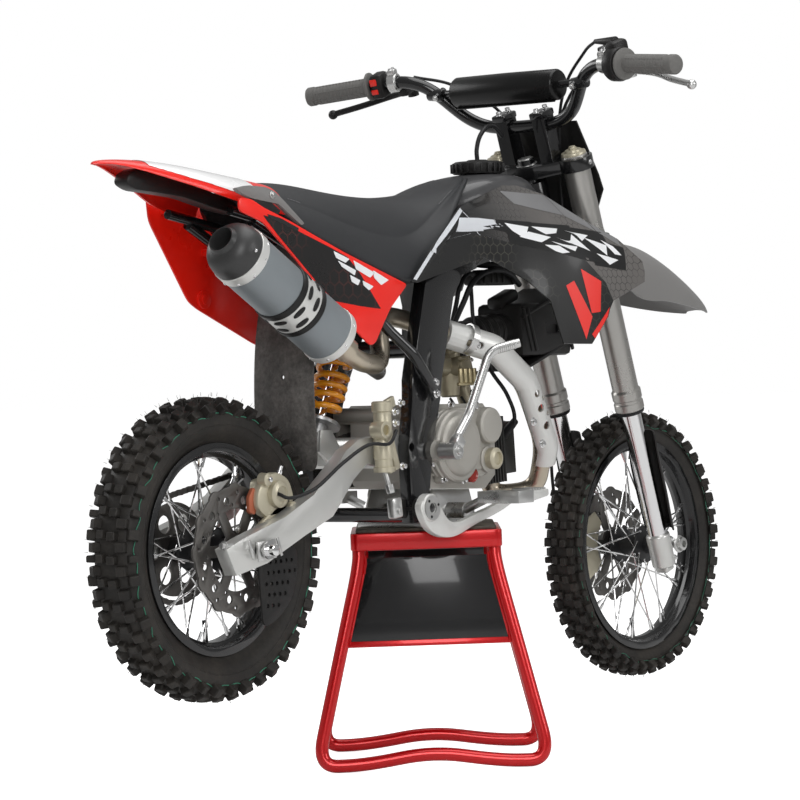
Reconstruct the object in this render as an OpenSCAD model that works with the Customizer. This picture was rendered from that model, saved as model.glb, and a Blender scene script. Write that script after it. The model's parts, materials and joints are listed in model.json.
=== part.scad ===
// Dirt bike of pit-bike size on its paddock stand.
// Millimetres. X forward, Y to the rider's left, Z up, the stand's feet on Z = 0.
// The bike's own points are written from the place of its rear axle with the standard swingarm.

/* [Wheels] */
// Rear tyre, outside radius over the knobs
rear_tyre_r = 240; // [215:1:262]
// Front tyre, outside radius over the knobs
front_tyre_r = 242; // [222:1:262]
// Rear tyre width
rear_tyre_w = 90; // [76:1:96]
// Front tyre width
front_tyre_w = 68; // [56:1:80]
// Rear rim, outside radius of its flange
rear_rim_r = 166; // [150:1:180]
// Front rim, outside radius of its flange
front_rim_r = 191; // [170:1:200]
// Rear rim width over its flanges
rear_rim_w = 54; // [44:1:60]
// Front rim width over its flanges
front_rim_w = 40; // [34:1:48]
// Spokes in each wheel
spoke_count = 36; // [20:4:40]
// Spoke diameter
spoke_d = 3.6; // [2.4:0.2:5]
// Brake disc radius
disc_r = 104; // [90:1:112]
// Brake disc thickness
disc_t = 4; // [3:0.5:5]
// Rear sprocket radius
sprocket_r = 84; // [70:1:92]
// Axle diameter
axle_d = 15; // [10:1:18]

/* [Swingarm] */
// Distance from the swingarm's pivot to the rear axle
swingarm_l = 413; // [344:1:496]
// Slope of the swingarm from the pivot down to the axle, degrees
swingarm_slope = 20; // [14:1:24]
// Half the width over the swingarm's ends
swingarm_half_w = 112; // [106:1:120]

/* [Fork] */
// Slope of the fork from the vertical, degrees
rake = 18.3; // [12:0.1:24]
// Length of the fork from the head tube's middle down to the front axle
fork_l = 656; // [560:1:740]
// Lead of the fork tubes ahead of the steering axis
clamp_offset = 32; // [26:1:38]
// Lead of the front axle ahead of the fork tubes
axle_lead = 32; // [26:1:40]
// Half the distance between the fork tubes
fork_half = 80; // [76:1:90]
// Diameter of the fork's outer tubes
fork_outer_d = 47; // [42:1:50]
// Diameter of the fork's inner tubes
fork_inner_d = 35; // [30:1:38]

/* [Handlebar] */
// Handlebar width over the grips
bar_w = 786; // [640:2:880]
// Handlebar tube diameter
bar_d = 22; // [20:1:28]
// Grip diameter
grip_d = 32; // [28:1:36]
// Length of the pad on the crossbar
pad_l = 220; // [160:1:240]
// Diameter of the pad
pad_d = 54; // [40:1:60]

/* [Exhaust] */
// Silencer body diameter
silencer_d = 93; // [77:1:106]
// Silencer body length
silencer_l = 262; // [218:1:280]
// Bore of the outlet
outlet_d = 38; // [24:1:46]
// Header pipe diameter
header_d = 32; // [26:1:34]

/* [Stand] */
// Height of the stand over its rubber pad
stand_h = 395; // [330:1:474]
// Side of the stand's square top
stand_top = 250; // [210:1:290]
// Distance from the near loop's feet to the far loop's
stand_spread = 310; // [270:1:360]
// Diameter of the stand's tubes
stand_tube_d = 22; // [18:1:28]
// Turn of the stand under the bike, degrees
stand_turn = -52.5; // [-90:0.5:0]

/* [Hidden] */
$fn = 48;

// The gap left where two pieces touch.
seat_gap = 0.3;

// Places in the bike's own side view.
pivot = [388, 0, 141];
rear_hub = pivot - swingarm_l * [cos(swingarm_slope), 0, sin(swingarm_slope)];
head = [921, 0, 535];
rest_z = 5;
stand_x = 565;
fork_up = [-sin(rake), 0, cos(rake)];
fork_ahead = [cos(rake), 0, sin(rake)];
front_hub = head - fork_l * fork_up + (clamp_offset + axle_lead) * fork_ahead;

// The model's origin is the middle of its length, on the floor.
tail_x = -232;
x_low = min(tail_x, rear_hub.x - rear_tyre_r);
x_high = front_hub.x + front_tyre_r;
bike_shift = [-(x_low + x_high) / 2, 0, stand_h - rest_z];

module bike() translate(bike_shift) children();

// The fork's own frame: X ahead, Y left, Z up along the steering axis, from the head tube's middle.
module fork_frame() bike() translate(head) rotate([0, -rake, 0]) children();

module both_sides() {
    children();
    mirror([0, 1, 0]) children();
}

// A cylinder across the bike, from y0 to y1.
module across(p, d, y0, y1) {
    translate([p.x, y1, p.z]) rotate([90, 0, 0]) cylinder(d = d, h = y1 - y0);
}

// A side-view outline of [x, z] points, from y0 to y1.
module side_plate(points, y0, y1) {
    translate([0, y1, 0]) rotate([90, 0, 0]) linear_extrude(y1 - y0) polygon(points);
}

// A plan outline of [x, y] points, from z0 to z1.
module plan_block(points, z0, z1) translate([0, 0, z0]) linear_extrude(z1 - z0) polygon(points);

// A front-view outline of [y, z] points, from x0 to x1.
module front_block(points, x0, x1) {
    translate([x0, 0, 0]) rotate([90, 0, 90]) linear_extrude(x1 - x0) polygon(points);
}

function unit(v) = v / norm(v);
function turn_angle(a, b) = acos(max(-1, min(1, a * b)));

// A round bar from a to b.
module bar(a, b, d) {
    v = b - a;
    translate(a)
        rotate([0, acos(v.z / norm(v)), atan2(v.y, v.x)])
            cylinder(d = d, h = norm(v));
}

// The arc that rounds corner p, between unit directions a and b, with bend radius r.
function arc_at(p, a, b, r, steps) = let (bend = turn_angle(a, b), n = unit(cross(a, b)), m = cross(n, a),
    c = p - a * r * tan(bend / 2) + r * m)
    [for (k = [0 : steps]) let (t = bend * k / steps) c - r * cos(t) * m + r * sin(t) * a];

// A list of corners with each inner one rounded.
function rounded(points, r, steps) = let (last = len(points) - 1) [
    points[0],
    for (i = [1 : last - 1]) each
        arc_at(points[i], unit(points[i] - points[i - 1]), unit(points[i + 1] - points[i]), r, steps),
    points[last]];

// A tube along a list of corners, bent at each inner one.
module bent_tube(points, d, r) sweep(rounded(points, r, 4), d, 12);

// A flat section of [u, v] points swept along a path; first_u is the way that u points at its start.
module sweep_section(points, section, first_u) {
    last = len(points) - 1;
    sides = len(section);
    dirs = [for (i = [0 : last]) unit(points[min(i + 1, last)] - points[max(i - 1, 0)])];
    normals = carry(dirs, first_u, last);
    ring = [for (i = [0 : last], k = [0 : sides - 1])
        points[i] + section[k].x * normals[i] + section[k].y * cross(dirs[i], normals[i])];
    skin = [for (i = [0 : last - 1], k = [0 : sides - 1])
        let (j = (k + 1) % sides) each
            [[i * sides + k, i * sides + j, (i + 1) * sides + j], [i * sides + k, (i + 1) * sides + j, (i + 1) * sides + k]]];
    polyhedron(ring, concat([for (f = skin) [f[0], f[2], f[1]]], [[for (k = [0 : sides - 1]) k]],
        [[for (k = [sides - 1 : -1 : 0]) last * sides + k]]), 4);
}

// A many-sided round bar swept along points, for springs, cables and levers.
module sweep(points, d, sides)
    sweep_section(points, [for (k = [0 : sides - 1]) d / 2 * [cos(360 * k / sides), sin(360 * k / sides)]],
        abs(unit(points[1] - points[0]).x) > 0.9 ? [0, 0, 1] : [1, 0, 0]);

// The first normal carried along the directions without twist.
function carry(dirs, n, last, i = 0, done = []) =
    i > last ? done
    : let (m = unit(n - (n * dirs[i]) * dirs[i])) carry(dirs, m, last, i + 1, concat(done, [m]));

// A smooth curve through hand-chosen points.
function curve(p, steps) = [for (i = [0 : len(p) - 2], k = [0 : steps - (i == len(p) - 2 ? 0 : 1)])
    let (t = k / steps, a = p[max(i - 1, 0)], b = p[i], c = p[i + 1], e = p[min(i + 2, len(p) - 1)])
        0.5 * (2 * b + (c - a) * t + (2 * a - 5 * b + 4 * c - e) * t * t + (3 * b - a - 3 * c + e) * t * t * t)];

// ---------------------------------------------------------------- stand
loop_tilt = atan((stand_spread - stand_top + 40) / 2 / (stand_h - 40));
loop_rise = (stand_h - 10) / cos(loop_tilt);
foot_v = stand_tube_d / 2 / cos(loop_tilt);
leg_top_u = stand_top / 2 - stand_tube_d / 2 - 2;
leg_kink_v = loop_rise - 48;
leg_slope = 0.24;
foot_u = leg_top_u + leg_slope * (leg_kink_v - foot_v);
bar_rise = 18;
pan_h = 28;
pad_t = 6;

module stand() translate([stand_x + bike_shift.x, 0, 0]) rotate(stand_turn) children();
module loop_plane() translate([0, -stand_spread / 2, 0]) rotate([90 - loop_tilt, 0, 0]) children();

module stand_loop() loop_plane() {
    foot_flat = foot_u - 75;
    bent_tube([[-leg_top_u, loop_rise - pad_t - 8, 0], [-leg_top_u, leg_kink_v, 0], [-foot_u, foot_v, 0],
        [-foot_flat, foot_v, 0], [0, foot_v + bar_rise, 0], [foot_flat, foot_v, 0],
        [foot_u, foot_v, 0], [leg_top_u, leg_kink_v, 0], [leg_top_u, loop_rise - pad_t - 8, 0]],
        stand_tube_d, 48);
}

module stand_pan() translate([0, 0, stand_h - pad_t - pan_h]) difference() {
    linear_extrude(pan_h) offset(r = 8) square(stand_top - 16, center = true);
    translate([0, 0, -1]) cube([stand_top - 8, stand_top - 8, 2 * (pan_h - 3)], center = true);
}

module stand_frame() color("firebrick") stand() {
    stand_loop();
    mirror([0, 1, 0]) stand_loop();
    stand_pan();
}

// Sheet panels between the legs of each loop.
module stand_panel() loop_plane() {
    top_v = loop_rise - pad_t - pan_h - 4;
    low_v = loop_rise - 178;
    inset = stand_tube_d / 2 + 1.2;
    side = function(v) leg_top_u + leg_slope * max(0, leg_kink_v - v) - inset;
    translate([0, 0, -1.5]) linear_extrude(3)
        polygon([[-side(low_v), low_v], [side(low_v), low_v], [side(leg_kink_v), leg_kink_v], [side(top_v), top_v],
            [-side(top_v), top_v], [-side(leg_kink_v), leg_kink_v]]);
}

module stand_panels() color("black") stand() {
    stand_panel();
    mirror([0, 1, 0]) stand_panel();
}

module stand_pad() color("dimgray") stand()
    translate([0, 0, stand_h - pad_t]) linear_extrude(pad_t) offset(r = 6) square(stand_top - 22, center = true);

// ---------------------------------------------------------------- wheels
module wheel(hub) bike() translate(hub) rotate([90, 0, 0]) children();

// Tyre section in [radius, width] points, seated on the rim's two bead shelves.
module tyre(r, w, rim_r, rim_w) {
    bead = rim_r - 9.7;
    shelf = rim_w / 2 - 5.3;
    side = (r + rim_r) / 2;
    rotate_extrude($fn = 96) polygon([[bead, -shelf], [rim_r + 4, -shelf - 1], [side, -w / 2], [r - 14, -w / 2 + 3],
        [r - 3, -w / 4], [r, 0], [r - 3, w / 4], [r - 14, w / 2 - 3], [side, w / 2], [rim_r + 4, shelf + 1],
        [bead, shelf]]);
}

rim_well = 22;
module rim(rim_r, rim_w) {
    h = rim_w / 2;
    rotate_extrude($fn = 96) polygon([[rim_r, -h], [rim_r, -h + 4], [rim_r - 10, -h + 5], [rim_r - 12, -h + 12],
        [rim_r - rim_well + 4, -h + 16], [rim_r - rim_well + 4, h - 16], [rim_r - 12, h - 12], [rim_r - 10, h - 5],
        [rim_r, h - 4], [rim_r, h], [rim_r - 13, h], [rim_r - 16, h - 11], [rim_r - rim_well, h - 14],
        [rim_r - rim_well, -h + 14], [rim_r - 16, -h + 11], [rim_r - 13, -h]]);
}

// Hub with two flanges; half_l is half its length, flange_y half the distance between flanges.
flange_r = 34;
flange_t = 4;
bearing_gap = 0.5;
module hub(half_l, flange_y) difference() {
    union() {
        cylinder(r = 17, h = 2 * half_l, center = true);
        for (s = [-1, 1]) translate([0, 0, s * flange_y]) cylinder(r = flange_r, h = flange_t, center = true);
    }
    cylinder(d = axle_d + 2 * bearing_gap, h = 2 * half_l + 2, center = true);
}

// Crossed spokes, from the faces of each flange to the rim's well.
module spokes(rim_r, flange_y) {
    hole_r = flange_r - 4;
    end_r = rim_r - rim_well - 0.5;
    lead = 55;
    for (s = [-1, 1], i = [0 : spoke_count / 2 - 1]) {
        way = i % 2 == 0 ? 1 : -1;
        a = 720 / spoke_count * (i + (s > 0 ? 0.5 : 0));
        y_in = s * (flange_y + way * (flange_t / 2 + spoke_d / 2 - 0.2));
        b = a + way * lead;
        bar([hole_r * cos(a), hole_r * sin(a), y_in], [end_r * cos(b), end_r * sin(b), s * way * 2 + s * 4], spoke_d);
    }
}

// A brake disc with scalloped edge and vent holes, on a six-armed carrier.
module brake_disc() {
    linear_extrude(disc_t, center = true) difference() {
        union() {
            circle(r = disc_r - 5);
            for (i = [0 : 11]) rotate(30 * i) translate([disc_r - 17, 0]) circle(r = 17);
        }
        circle(r = disc_r - 40);
        for (i = [0 : 11]) rotate(30 * i + 15) {
            translate([disc_r - 26, 0]) circle(r = 6.5);
            rotate(11) translate([disc_r - 15, 0]) circle(r = 3.5);
            rotate(-9) translate([disc_r - 34, 0]) circle(r = 3);
        }
    }
    linear_extrude(disc_t, center = true) difference() {
        union() {
            circle(r = 30);
            for (i = [0 : 5]) rotate(60 * i) translate([0, -9]) square([disc_r - 38, 18]);
        }
        circle(r = 17 + seat_gap);
    }
}

rear_hub_half = 74;
front_hub_half = 52;
rear_flange_y = 30;
front_flange_y = 26;
rear_disc_y = -60;
front_disc_y = 46;
chain_y = 66;

module rear_tyre() color("#202020") wheel(rear_hub) tyre(rear_tyre_r, rear_tyre_w, rear_rim_r, rear_rim_w);
module front_tyre() color("#202020") wheel(front_hub) tyre(front_tyre_r, front_tyre_w, front_rim_r, front_rim_w);
module rear_rim() color("black") wheel(rear_hub) rim(rear_rim_r, rear_rim_w);
module front_rim() color("black") wheel(front_hub) rim(front_rim_r, front_rim_w);
module rear_spokes() color("silver") wheel(rear_hub) {
    hub(rear_hub_half, rear_flange_y);
    spokes(rear_rim_r, rear_flange_y);
}
module front_spokes() color("silver") wheel(front_hub) {
    hub(front_hub_half, front_flange_y);
    spokes(front_rim_r, front_flange_y);
}
module rear_disc() color("dimgray") wheel(rear_hub) translate([0, 0, -rear_disc_y]) brake_disc();
module front_disc() color("dimgray") wheel(front_hub) translate([0, 0, -front_disc_y]) brake_disc();

module rear_sprocket() color("gray") wheel(rear_hub) translate([0, 0, -chain_y]) linear_extrude(4, center = true)
    difference() {
        circle(r = sprocket_r - 10);
        circle(r = 17 + seat_gap);
        for (i = [0 : 5]) rotate(60 * i) translate([sprocket_r * 0.55, 0]) circle(r = sprocket_r * 0.17);
    }

// ---------------------------------------------------------------- frame
spar_t = 22;
spar_out = 112;
head_tube_d = 56;
head_bore = 32;
pivot_d = 14;

// The twin spars: a side-view outline cut by a front-view one, narrowing to the head tube.
module spar() intersection() {
    side_plate([[384, 18], [380, 141], [401, 250], [466, 405], [520, 470], [590, 500], [700, 520], [898, 556],
        [915, 500], [760, 458], [640, 436], [575, 420], [541, 388], [481, 250], [445, 141], [432, 62], [428, 18]],
        10, spar_out + 1);
    union() {
        front_block([[spar_out - spar_t, 0], [spar_out - spar_t, 215], [68, 405], [48, 470], [48, 600], [74, 600],
            [74, 470], [92, 405], [spar_out, 215], [spar_out, 0]], 370, 621);
        plan_block([[620, 48], [620, 74], [900, 40], [930, 24], [930, 10], [880, 12]], 400, 600);
    }
}

module main_frame() color("#1c1c1e") bike() difference() {
    union() {
        both_sides() spar();
        translate(head) rotate([0, -rake, 0]) cylinder(d = head_tube_d, h = 106, center = true);
        across([400, 0, 30], 24, -spar_out + 4, spar_out - 4);
        across([452, 0, 300], 30, -84, 84);
        across([560, 0, 448], 26, -60, 60);
        across(pedal_pivot, pedal_bore - 2 * seat_gap, -140, -spar_out + 1);
        both_sides() side_plate([[436, 430], [436, 448], [520, 470], [520, 440]], rail_a.y + rail_d / 2 + 1, 78);
    }
    across(pivot, pivot_d, -200, 200);
    translate(head) rotate([0, -rake, 0]) cylinder(d = head_bore, h = 200, center = true);
}

rail_d = 16;
rail_a = [462, 62, 440];
rail_b = [300, 66, 470];
rail_c = [10, 64, 524];
strut_d = 18;
strut_foot = [440, spar_out + strut_d / 2 + seat_gap, 234];
module subframe() color("#1c1c1e") bike() both_sides() {
    bent_tube([strut_foot, [389, strut_foot.y, 292], [352, 98, 334], [300, 82, 395], [60, 66, rail_c.z - 16]], strut_d, 30);
    bent_tube([rail_a, rail_b, rail_c], rail_d, 30);
}

// ---------------------------------------------------------------- swingarm
// Points of the arm are written back from the pivot along its slope, and up across it.
arm_in = swingarm_half_w - 24;
shock_eye_l = 32;
function arm(back, up) = let (c = cos(swingarm_slope), s = sin(swingarm_slope))
    [pivot.x - back * c - up * s, pivot.z - back * s + up * c];
slot_l = 46;

module swingarm_side() intersection() {
    side_plate([arm(swingarm_l + 76, 34), arm(swingarm_l + 70, -12), arm(swingarm_l - 4, -24), arm(swingarm_l - 100, -22),
        arm(swingarm_l - 181, -22), arm(200, -9), arm(150, 6), arm(95, 12), arm(40, -22), arm(-4, -22), arm(-22, 0),
        arm(0, 24), arm(60, 44), arm(110, 58), arm(155, 58), arm(190, 48), arm(swingarm_l - 150, 28),
        arm(swingarm_l - 73, 24), arm(swingarm_l + 36, 34)], 40, 130);
    plan_block([[pivot.x - swingarm_l * 0.94 - 90, arm_in], [200, arm_in], [300, 77], [430, 75], [430, 88], [300, 92],
        [200, swingarm_half_w], [pivot.x - swingarm_l * 0.94 - 90, swingarm_half_w]], -120, 320);
}

module swingarm() color("silver") bike() difference() {
    union() {
        both_sides() swingarm_side();
        side_plate([arm(60, -12), arm(30, -12), arm(30, 6), arm(60, 6)], -80, 80);
        both_sides() side_plate([[262, 140], [288, 118], [340, 112], [345, 127], [318, 140], [294, 174], [266, 174]],
            shock_eye_l / 2 + seat_gap, shock_eye_l / 2 + 6);
        across(pivot, 34, -80, 56);
    }
    across(pivot, pivot_d, -200, 200);
    axle_slot = arm(swingarm_l, 0);
    for (k = [0, 1]) across([axle_slot.x + 2 + k * slot_l / 2 - slot_l / 4, 0, rear_hub.z + 0.15 * k], axle_d + 1, -200, 200);
    translate([rear_hub.x - slot_l / 4, -200, rear_hub.z - axle_d / 2 - 0.5]) cube([slot_l / 2, 400, axle_d + 1]);
}

axle_collar_d = 26;
module rear_axle() color("silver") bike() translate(rear_hub) {
    across([0, 0, 0], axle_d, -swingarm_half_w - 8, swingarm_half_w + 8);
    both_sides() {
        difference() {
            translate([-15, swingarm_half_w + seat_gap, -13]) cube([34, 3.4, 26]);
            across([0, 0, 0], axle_d, 0, 200);
        }
        difference() {
            translate([0, swingarm_half_w + 13, 0]) rotate([90, 0, 0]) cylinder(d = 26, h = 9, $fn = 6);
            across([0, 0, 0], axle_d, 0, 200);
        }
        difference() {
            across([0, 0, 0], axle_collar_d, rear_hub_half + 1, arm_in - seat_gap);
            across([0, 0, 0], axle_d, 0, 200);
        }
    }
}

// ---------------------------------------------------------------- drive
output = [470, 0, 132];
output_r = 30;
chain_w = 9;
module chain() color("#3a3a3a") bike() {
    d = norm([output.x - rear_hub.x, output.z - rear_hub.z]);
    slope = atan2(output.z - rear_hub.z, output.x - rear_hub.x);
    translate([rear_hub.x, chain_y + chain_w / 2, rear_hub.z]) rotate([90, -slope, 0]) linear_extrude(chain_w) difference() {
        chain_outline(d, 5);
        chain_outline(d, -5);
    }
}

module chain_outline(d, grow) hull() {
    circle(r = sprocket_r + grow, $fn = 72);
    translate([d, 0]) circle(r = output_r + grow);
}

module rear_caliper() color("#b5aa90") bike() translate(rear_hub) difference() {
    union() {
        across([0, 0, 0], 44, -86, -rear_hub_half - 1.5);
        side_plate([[4, 18], [18, -6], [40, 12], [112, 52], [118, 84], [92, 112], [56, 118], [18, 84]], -86, -66);
        side_plate([[52, 62], [96, 50], [116, 80], [88, 110], [60, 106]], -66, -40);
    }
    across([0, 0, 0], 2 * disc_r + 3, rear_disc_y - 6, rear_disc_y + 6);
    across([0, 0, 0], 42, -rear_hub_half - 1, -30);
    across([0, 0, 0], axle_collar_d + 2 * seat_gap, -90, -70);
}

module disc_guard() color("#151515") bike() translate(rear_hub)
    side_plate([[18, -8], [112, 2], [116, -40], [98, -84], [62, -112], [26, -124]], -arm_in + seat_gap, -arm_in + 1.8);

// ---------------------------------------------------------------- shock
shock_low = [279, 0, 156];
shock_top = [372, 0, 352];
shock_l = norm(shock_top - shock_low);
spring_d = 60;
spring_wire = 10;
module shock_frame() bike() translate(shock_low)
    rotate([0, atan2(shock_top.x - shock_low.x, shock_top.z - shock_low.z), 0]) children();

module shock_body() color("#a9a9ad") {
    shock_frame() {
        cylinder(d = 12, h = shock_l - 20);
        translate([0, 0, 14]) cylinder(d = 30, h = 16);
        translate([0, 0, 30]) cylinder(d = spring_d + 6, h = 6);
        translate([0, 0, 148]) cylinder(d = spring_d + 6, h = 6);
        translate([0, 0, 154]) cylinder(d = 40, h = shock_l - 160);
        across([0, 0, 0], 28, -shock_eye_l / 2, shock_eye_l / 2);
        across([0, 0, shock_l], 28, -shock_eye_l / 2, shock_eye_l / 2);
    }
    bike() {
        bar([320, -40, 300], [410, -36, 262], 26);
        bar([352, -6, 306], [354, -38, 287], 16);
    }
}

spring_turns = 5;
module shock_spring() color("orange") shock_frame() {
    low = 30 + 6 + spring_wire / 2 + seat_gap;
    high = 148 - spring_wire / 2 - seat_gap;
    steps = spring_turns * 20;
    r = (spring_d - spring_wire) / 2;
    sweep([for (i = [0 : steps]) let (t = i / steps, ease = t + 0.035 * sin(360 * t))
        [r * cos(360 * spring_turns * t), r * sin(360 * spring_turns * t), low + (high - low) * ease]], spring_wire, 10);
}

// ---------------------------------------------------------------- engine
case_r = 74;
crank = [560, 0, 132];
cyl_tilt = 3;
cyl_x0 = 640;
fin_count = 9;

module engine_block() color("#8d8d88") bike() difference() {
    union() {
        side_plate([[436, 84], [448, 70], [618, 62], [648, 84], [652, 172], [620, 205], [480, 208], [440, 178]], -88, 84);
        across([452, 0, 192], 26, -spar_out + spar_t + seat_gap, spar_out - spar_t - seat_gap);
        across([output.x + 96, 0, crank.z + 4], 128, 84, 104);
        across([output.x + 60, 0, crank.z - 10], 60, 104, 112);
    }
    difference() {
        translate([output.x - 60, chain_y - 12, output.z - 58]) cube([102, 24, 104]);
        across(output, 2 * (output_r - 5 - seat_gap), chain_y - 13, chain_y + 3);
    }
}

module clutch_cover() color("#8d8d88") bike() {
    across([512, 0, 138], 120, -118, -88 - seat_gap);
    across([512, 0, 138], 84, -130, -118);
    across([600, 0, 168], 62, -122, -88 - seat_gap);
    across([600, 0, 112], 44, -112, -88 - seat_gap);
    side_plate([[470, 76], [600, 84], [632, 168], [600, 198], [520, 202]], -106, -88 - seat_gap);
}

module cylinder_frame() bike() translate([cyl_x0, 0, crank.z - 12]) rotate([0, 90 - cyl_tilt, 0]) children();
module cylinder_part() color("#7d7d7a") cylinder_frame() {
    translate([0, 0, 14.5]) cylinder(d = 84, h = 95);
    for (i = [0 : fin_count - 1]) translate([-56, -54, 20 + 8 * i]) cube([112, 108, 3]);
    translate([-44, -46, 92]) cube([88, 92, 34]);
    translate([-30, -34, 126]) cube([60, 68, 10]);
}

module carburettor() color("#b7b2a4") bike() {
    bar([694, -6, 188], [668, -6, 244], 28);
    bar([668, -6, 244], [622, -6, 270], 32);
    translate([668, -6, 244]) sphere(d = 34);
    across([636, 0, 268], 34, -40, 24);
    bar([634, -8, 226], [640, -8, 314], 36);
    bar([622, -6, 270], [566, -6, 276], 40);
    bar([636, -6, 313], [663.4, -6, 313], 40);
    translate([676, -26, 180.1]) cube([40, 40, 9]);
}

airbox_y = 62;
module airbox() color("#141414") bike() {
    difference() {
        plan_block([[786, -airbox_y], [918, -airbox_y], [926, -airbox_y + 8], [926, 22], [910, 36], [786, 36], [778, 22],
            [778, -airbox_y + 8]], 280, 372);
        translate([846, -airbox_y - 1, 318]) cube([54, 5, 18]);
    }
    bent_tube([[700, -6, 318], [740, -12, 326], [778 + seat_gap, -14, 326]], 62, 30);
    bar([664, -6, 313], [704, -6, 313], 50);
    front_block([[-30, 372], [10, 372], [4, 400], [-24, 400]], 760, 830);
}

// ---------------------------------------------------------------- exhaust
silencer_dir = unit([-262, 0, 155]);
silencer_in = [202, -106, 320];
silencer_taper = 14;
cap_shoulder = 24;
cap_cone = 14;
pipe_route = [[754, 0, 80.5], [756, 0, 44], [812, -56, 50], [790, -90, 128], [716, -103, 240], [640, -96, 296],
    [550, -54, 326], [470, -34, 352], [404, -40, 356], [352, -82, 274], [262, -104, 284], silencer_in - 0.6 * silencer_dir];

module exhaust_pipe() color("#9a8f80") bike() bent_tube(pipe_route, header_d, 34);

shield_t = 3;
shield_r = header_d / 2 + 6;
shield_mid = (pipe_route[3] + pipe_route[4]) / 2;
shield_route = rounded([0.35 * pipe_route[2] + 0.65 * pipe_route[3], pipe_route[3], pipe_route[4], pipe_route[5],
    0.1 * pipe_route[5] + 0.9 * pipe_route[6]], 34, 4);
module heat_shield() color("#c9c9c9") bike() {
    sweep_section(shield_route, concat(
        [for (a = [-80 : 16 : 80]) (shield_r + shield_t) * [cos(a), sin(a)]],
        [for (a = [80 : -16 : -80]) shield_r * [cos(a), sin(a)]]), [0, -1, 0]);
    across(shield_mid, 10, shield_mid.y - shield_r - 2, shield_mid.y - header_d / 2 - 0.6);
}

module silencer_frame() bike() translate(silencer_in)
    rotate([0, -acos(silencer_dir.z), 0]) children();

module silencer() color("#7f868c") silencer_frame() difference() {
    union() {
        translate([0, 0, seat_gap]) cylinder(d1 = silencer_d * 0.7, d2 = silencer_d, h = silencer_taper);
        translate([0, 0, silencer_taper]) cylinder(d = silencer_d, h = silencer_l - silencer_taper);
    }
    translate([0, 0, 60]) cylinder(d = outlet_d, h = silencer_l);
}

module silencer_cap() color("#202020") silencer_frame() translate([0, 0, silencer_l + seat_gap]) difference() {
    union() {
        cylinder(d1 = silencer_d, d2 = silencer_d * 0.9, h = cap_shoulder);
        translate([0, 0, cap_shoulder]) cylinder(d1 = silencer_d * 0.9, d2 = silencer_d * 0.6, h = cap_cone);
        translate([0, 0, cap_shoulder + cap_cone - 2]) cylinder(d = outlet_d + 8, h = 10);
    }
    translate([0, 0, -1]) cylinder(d = outlet_d, h = 90);
}

// ---------------------------------------------------------------- controls on the frame
kick_shaft = [455, 0, 132];
module kick_lever() color("#d8d8d8") bike() difference() {
    union() {
        across(kick_shaft, 28, -156, -118 - seat_gap);
        bent_tube([[kick_shaft.x, -144, kick_shaft.z + 8], [504, -144, 190], [548, -158, 292], [588, -190, 304]], 15, 14);
    }
    across(kick_shaft, 12, -170, -140);
}

module gear_lever() color("silver") bike() {
    across([556, 0, 92], 22, 112 + seat_gap, 128);
    bent_tube([[556, 121, 92], [640, 124, 76], [700, 132, 70]], 11, 14);
    across([700, 0, 70], 13, 128, 168);
}

pedal_pivot = [400, 0, 42];
pedal_bore = 16;
module brake_pedal() color("#b9bcbe") bike() {
    difference() {
        union() {
            across(pedal_pivot, 46, -140, -122);
            side_plate([[392, 60], [372, 40], [392, 6], [432, -9], [468, -9], [500, 7], [560, 18], [640, 44],
                [636, 54], [560, 32], [490, 18], [446, 14], [424, 46]], -138, -124);
        }
        across(pedal_pivot, pedal_bore, -150, -110);
    }
    side_plate([[634, 38], [690, 46], [690, 58], [634, 56]], -168, -124);
}

module rear_master_cylinder() color("#b5aa90") bike() {
    bar([318, -108, 108], [318, -108, 218], 32);
    across([302, 0, 172], 26, -132, -108);
    bar([318, -108, 108], [330, -118, 44], 8);
    side_plate([[318, 56], [344, 56], [344, 28], [318, 28]], -127, -111);
    side_plate([[318, 142], [396, 138], [396, 170], [318, 184]], -spar_out - 6, -spar_out - seat_gap);
}

peg_z = 46;
module footpegs() color("#8f8a80") bike() {
    both_sides() {
        difference() {
            translate([522, 142, peg_z - 4]) cube([42, 84, 20]);
            translate([528, 148, peg_z - 9]) cube([30, 72, 30]);
            for (i = [0 : 6]) translate([500, 146 + 12 * i, peg_z + 16]) rotate([45, 0, 0]) cube([90, 5, 5]);
        }
        bar([543, 96, 30], [543, 142, peg_z + 2], 16);
    }
    across([543, 0, 30], 26, -104, 104);
    side_plate([[470, rest_z + seat_gap], [630, rest_z + seat_gap], [630, 14], [470, 14]], -70, 70);
    both_sides() side_plate([[478, 12], [618, 12], [600, 62.5], [500, 67.2]], 62, 68);
}

// ---------------------------------------------------------------- tank, seat and plastics
module fuel_tank() color("#161616") bike() intersection() {
    side_plate([[604, 503.1], [606, 552], [640, 570], [690, 588], [704, 592], [794, 592], [838, 580], [860, 560],
        [860, 549.4], [700, 520.4]], -80, 80);
    plan_block([[600, -62], [640, -76], [800, -76], [862, -40], [862, 40], [800, 76], [640, 76], [600, 62]], 480, 600);
}

cap_at = [748, 0, 592];
module tank_cap() color("#101010") bike() translate(cap_at) {
    translate([0, 0, seat_gap]) cylinder(d = 84, h = 6);
    translate([0, 0, 6]) cylinder(d = 92, h = 14);
    bar([0, 0, 18], [0, 0, 34], 10);
}

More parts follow.
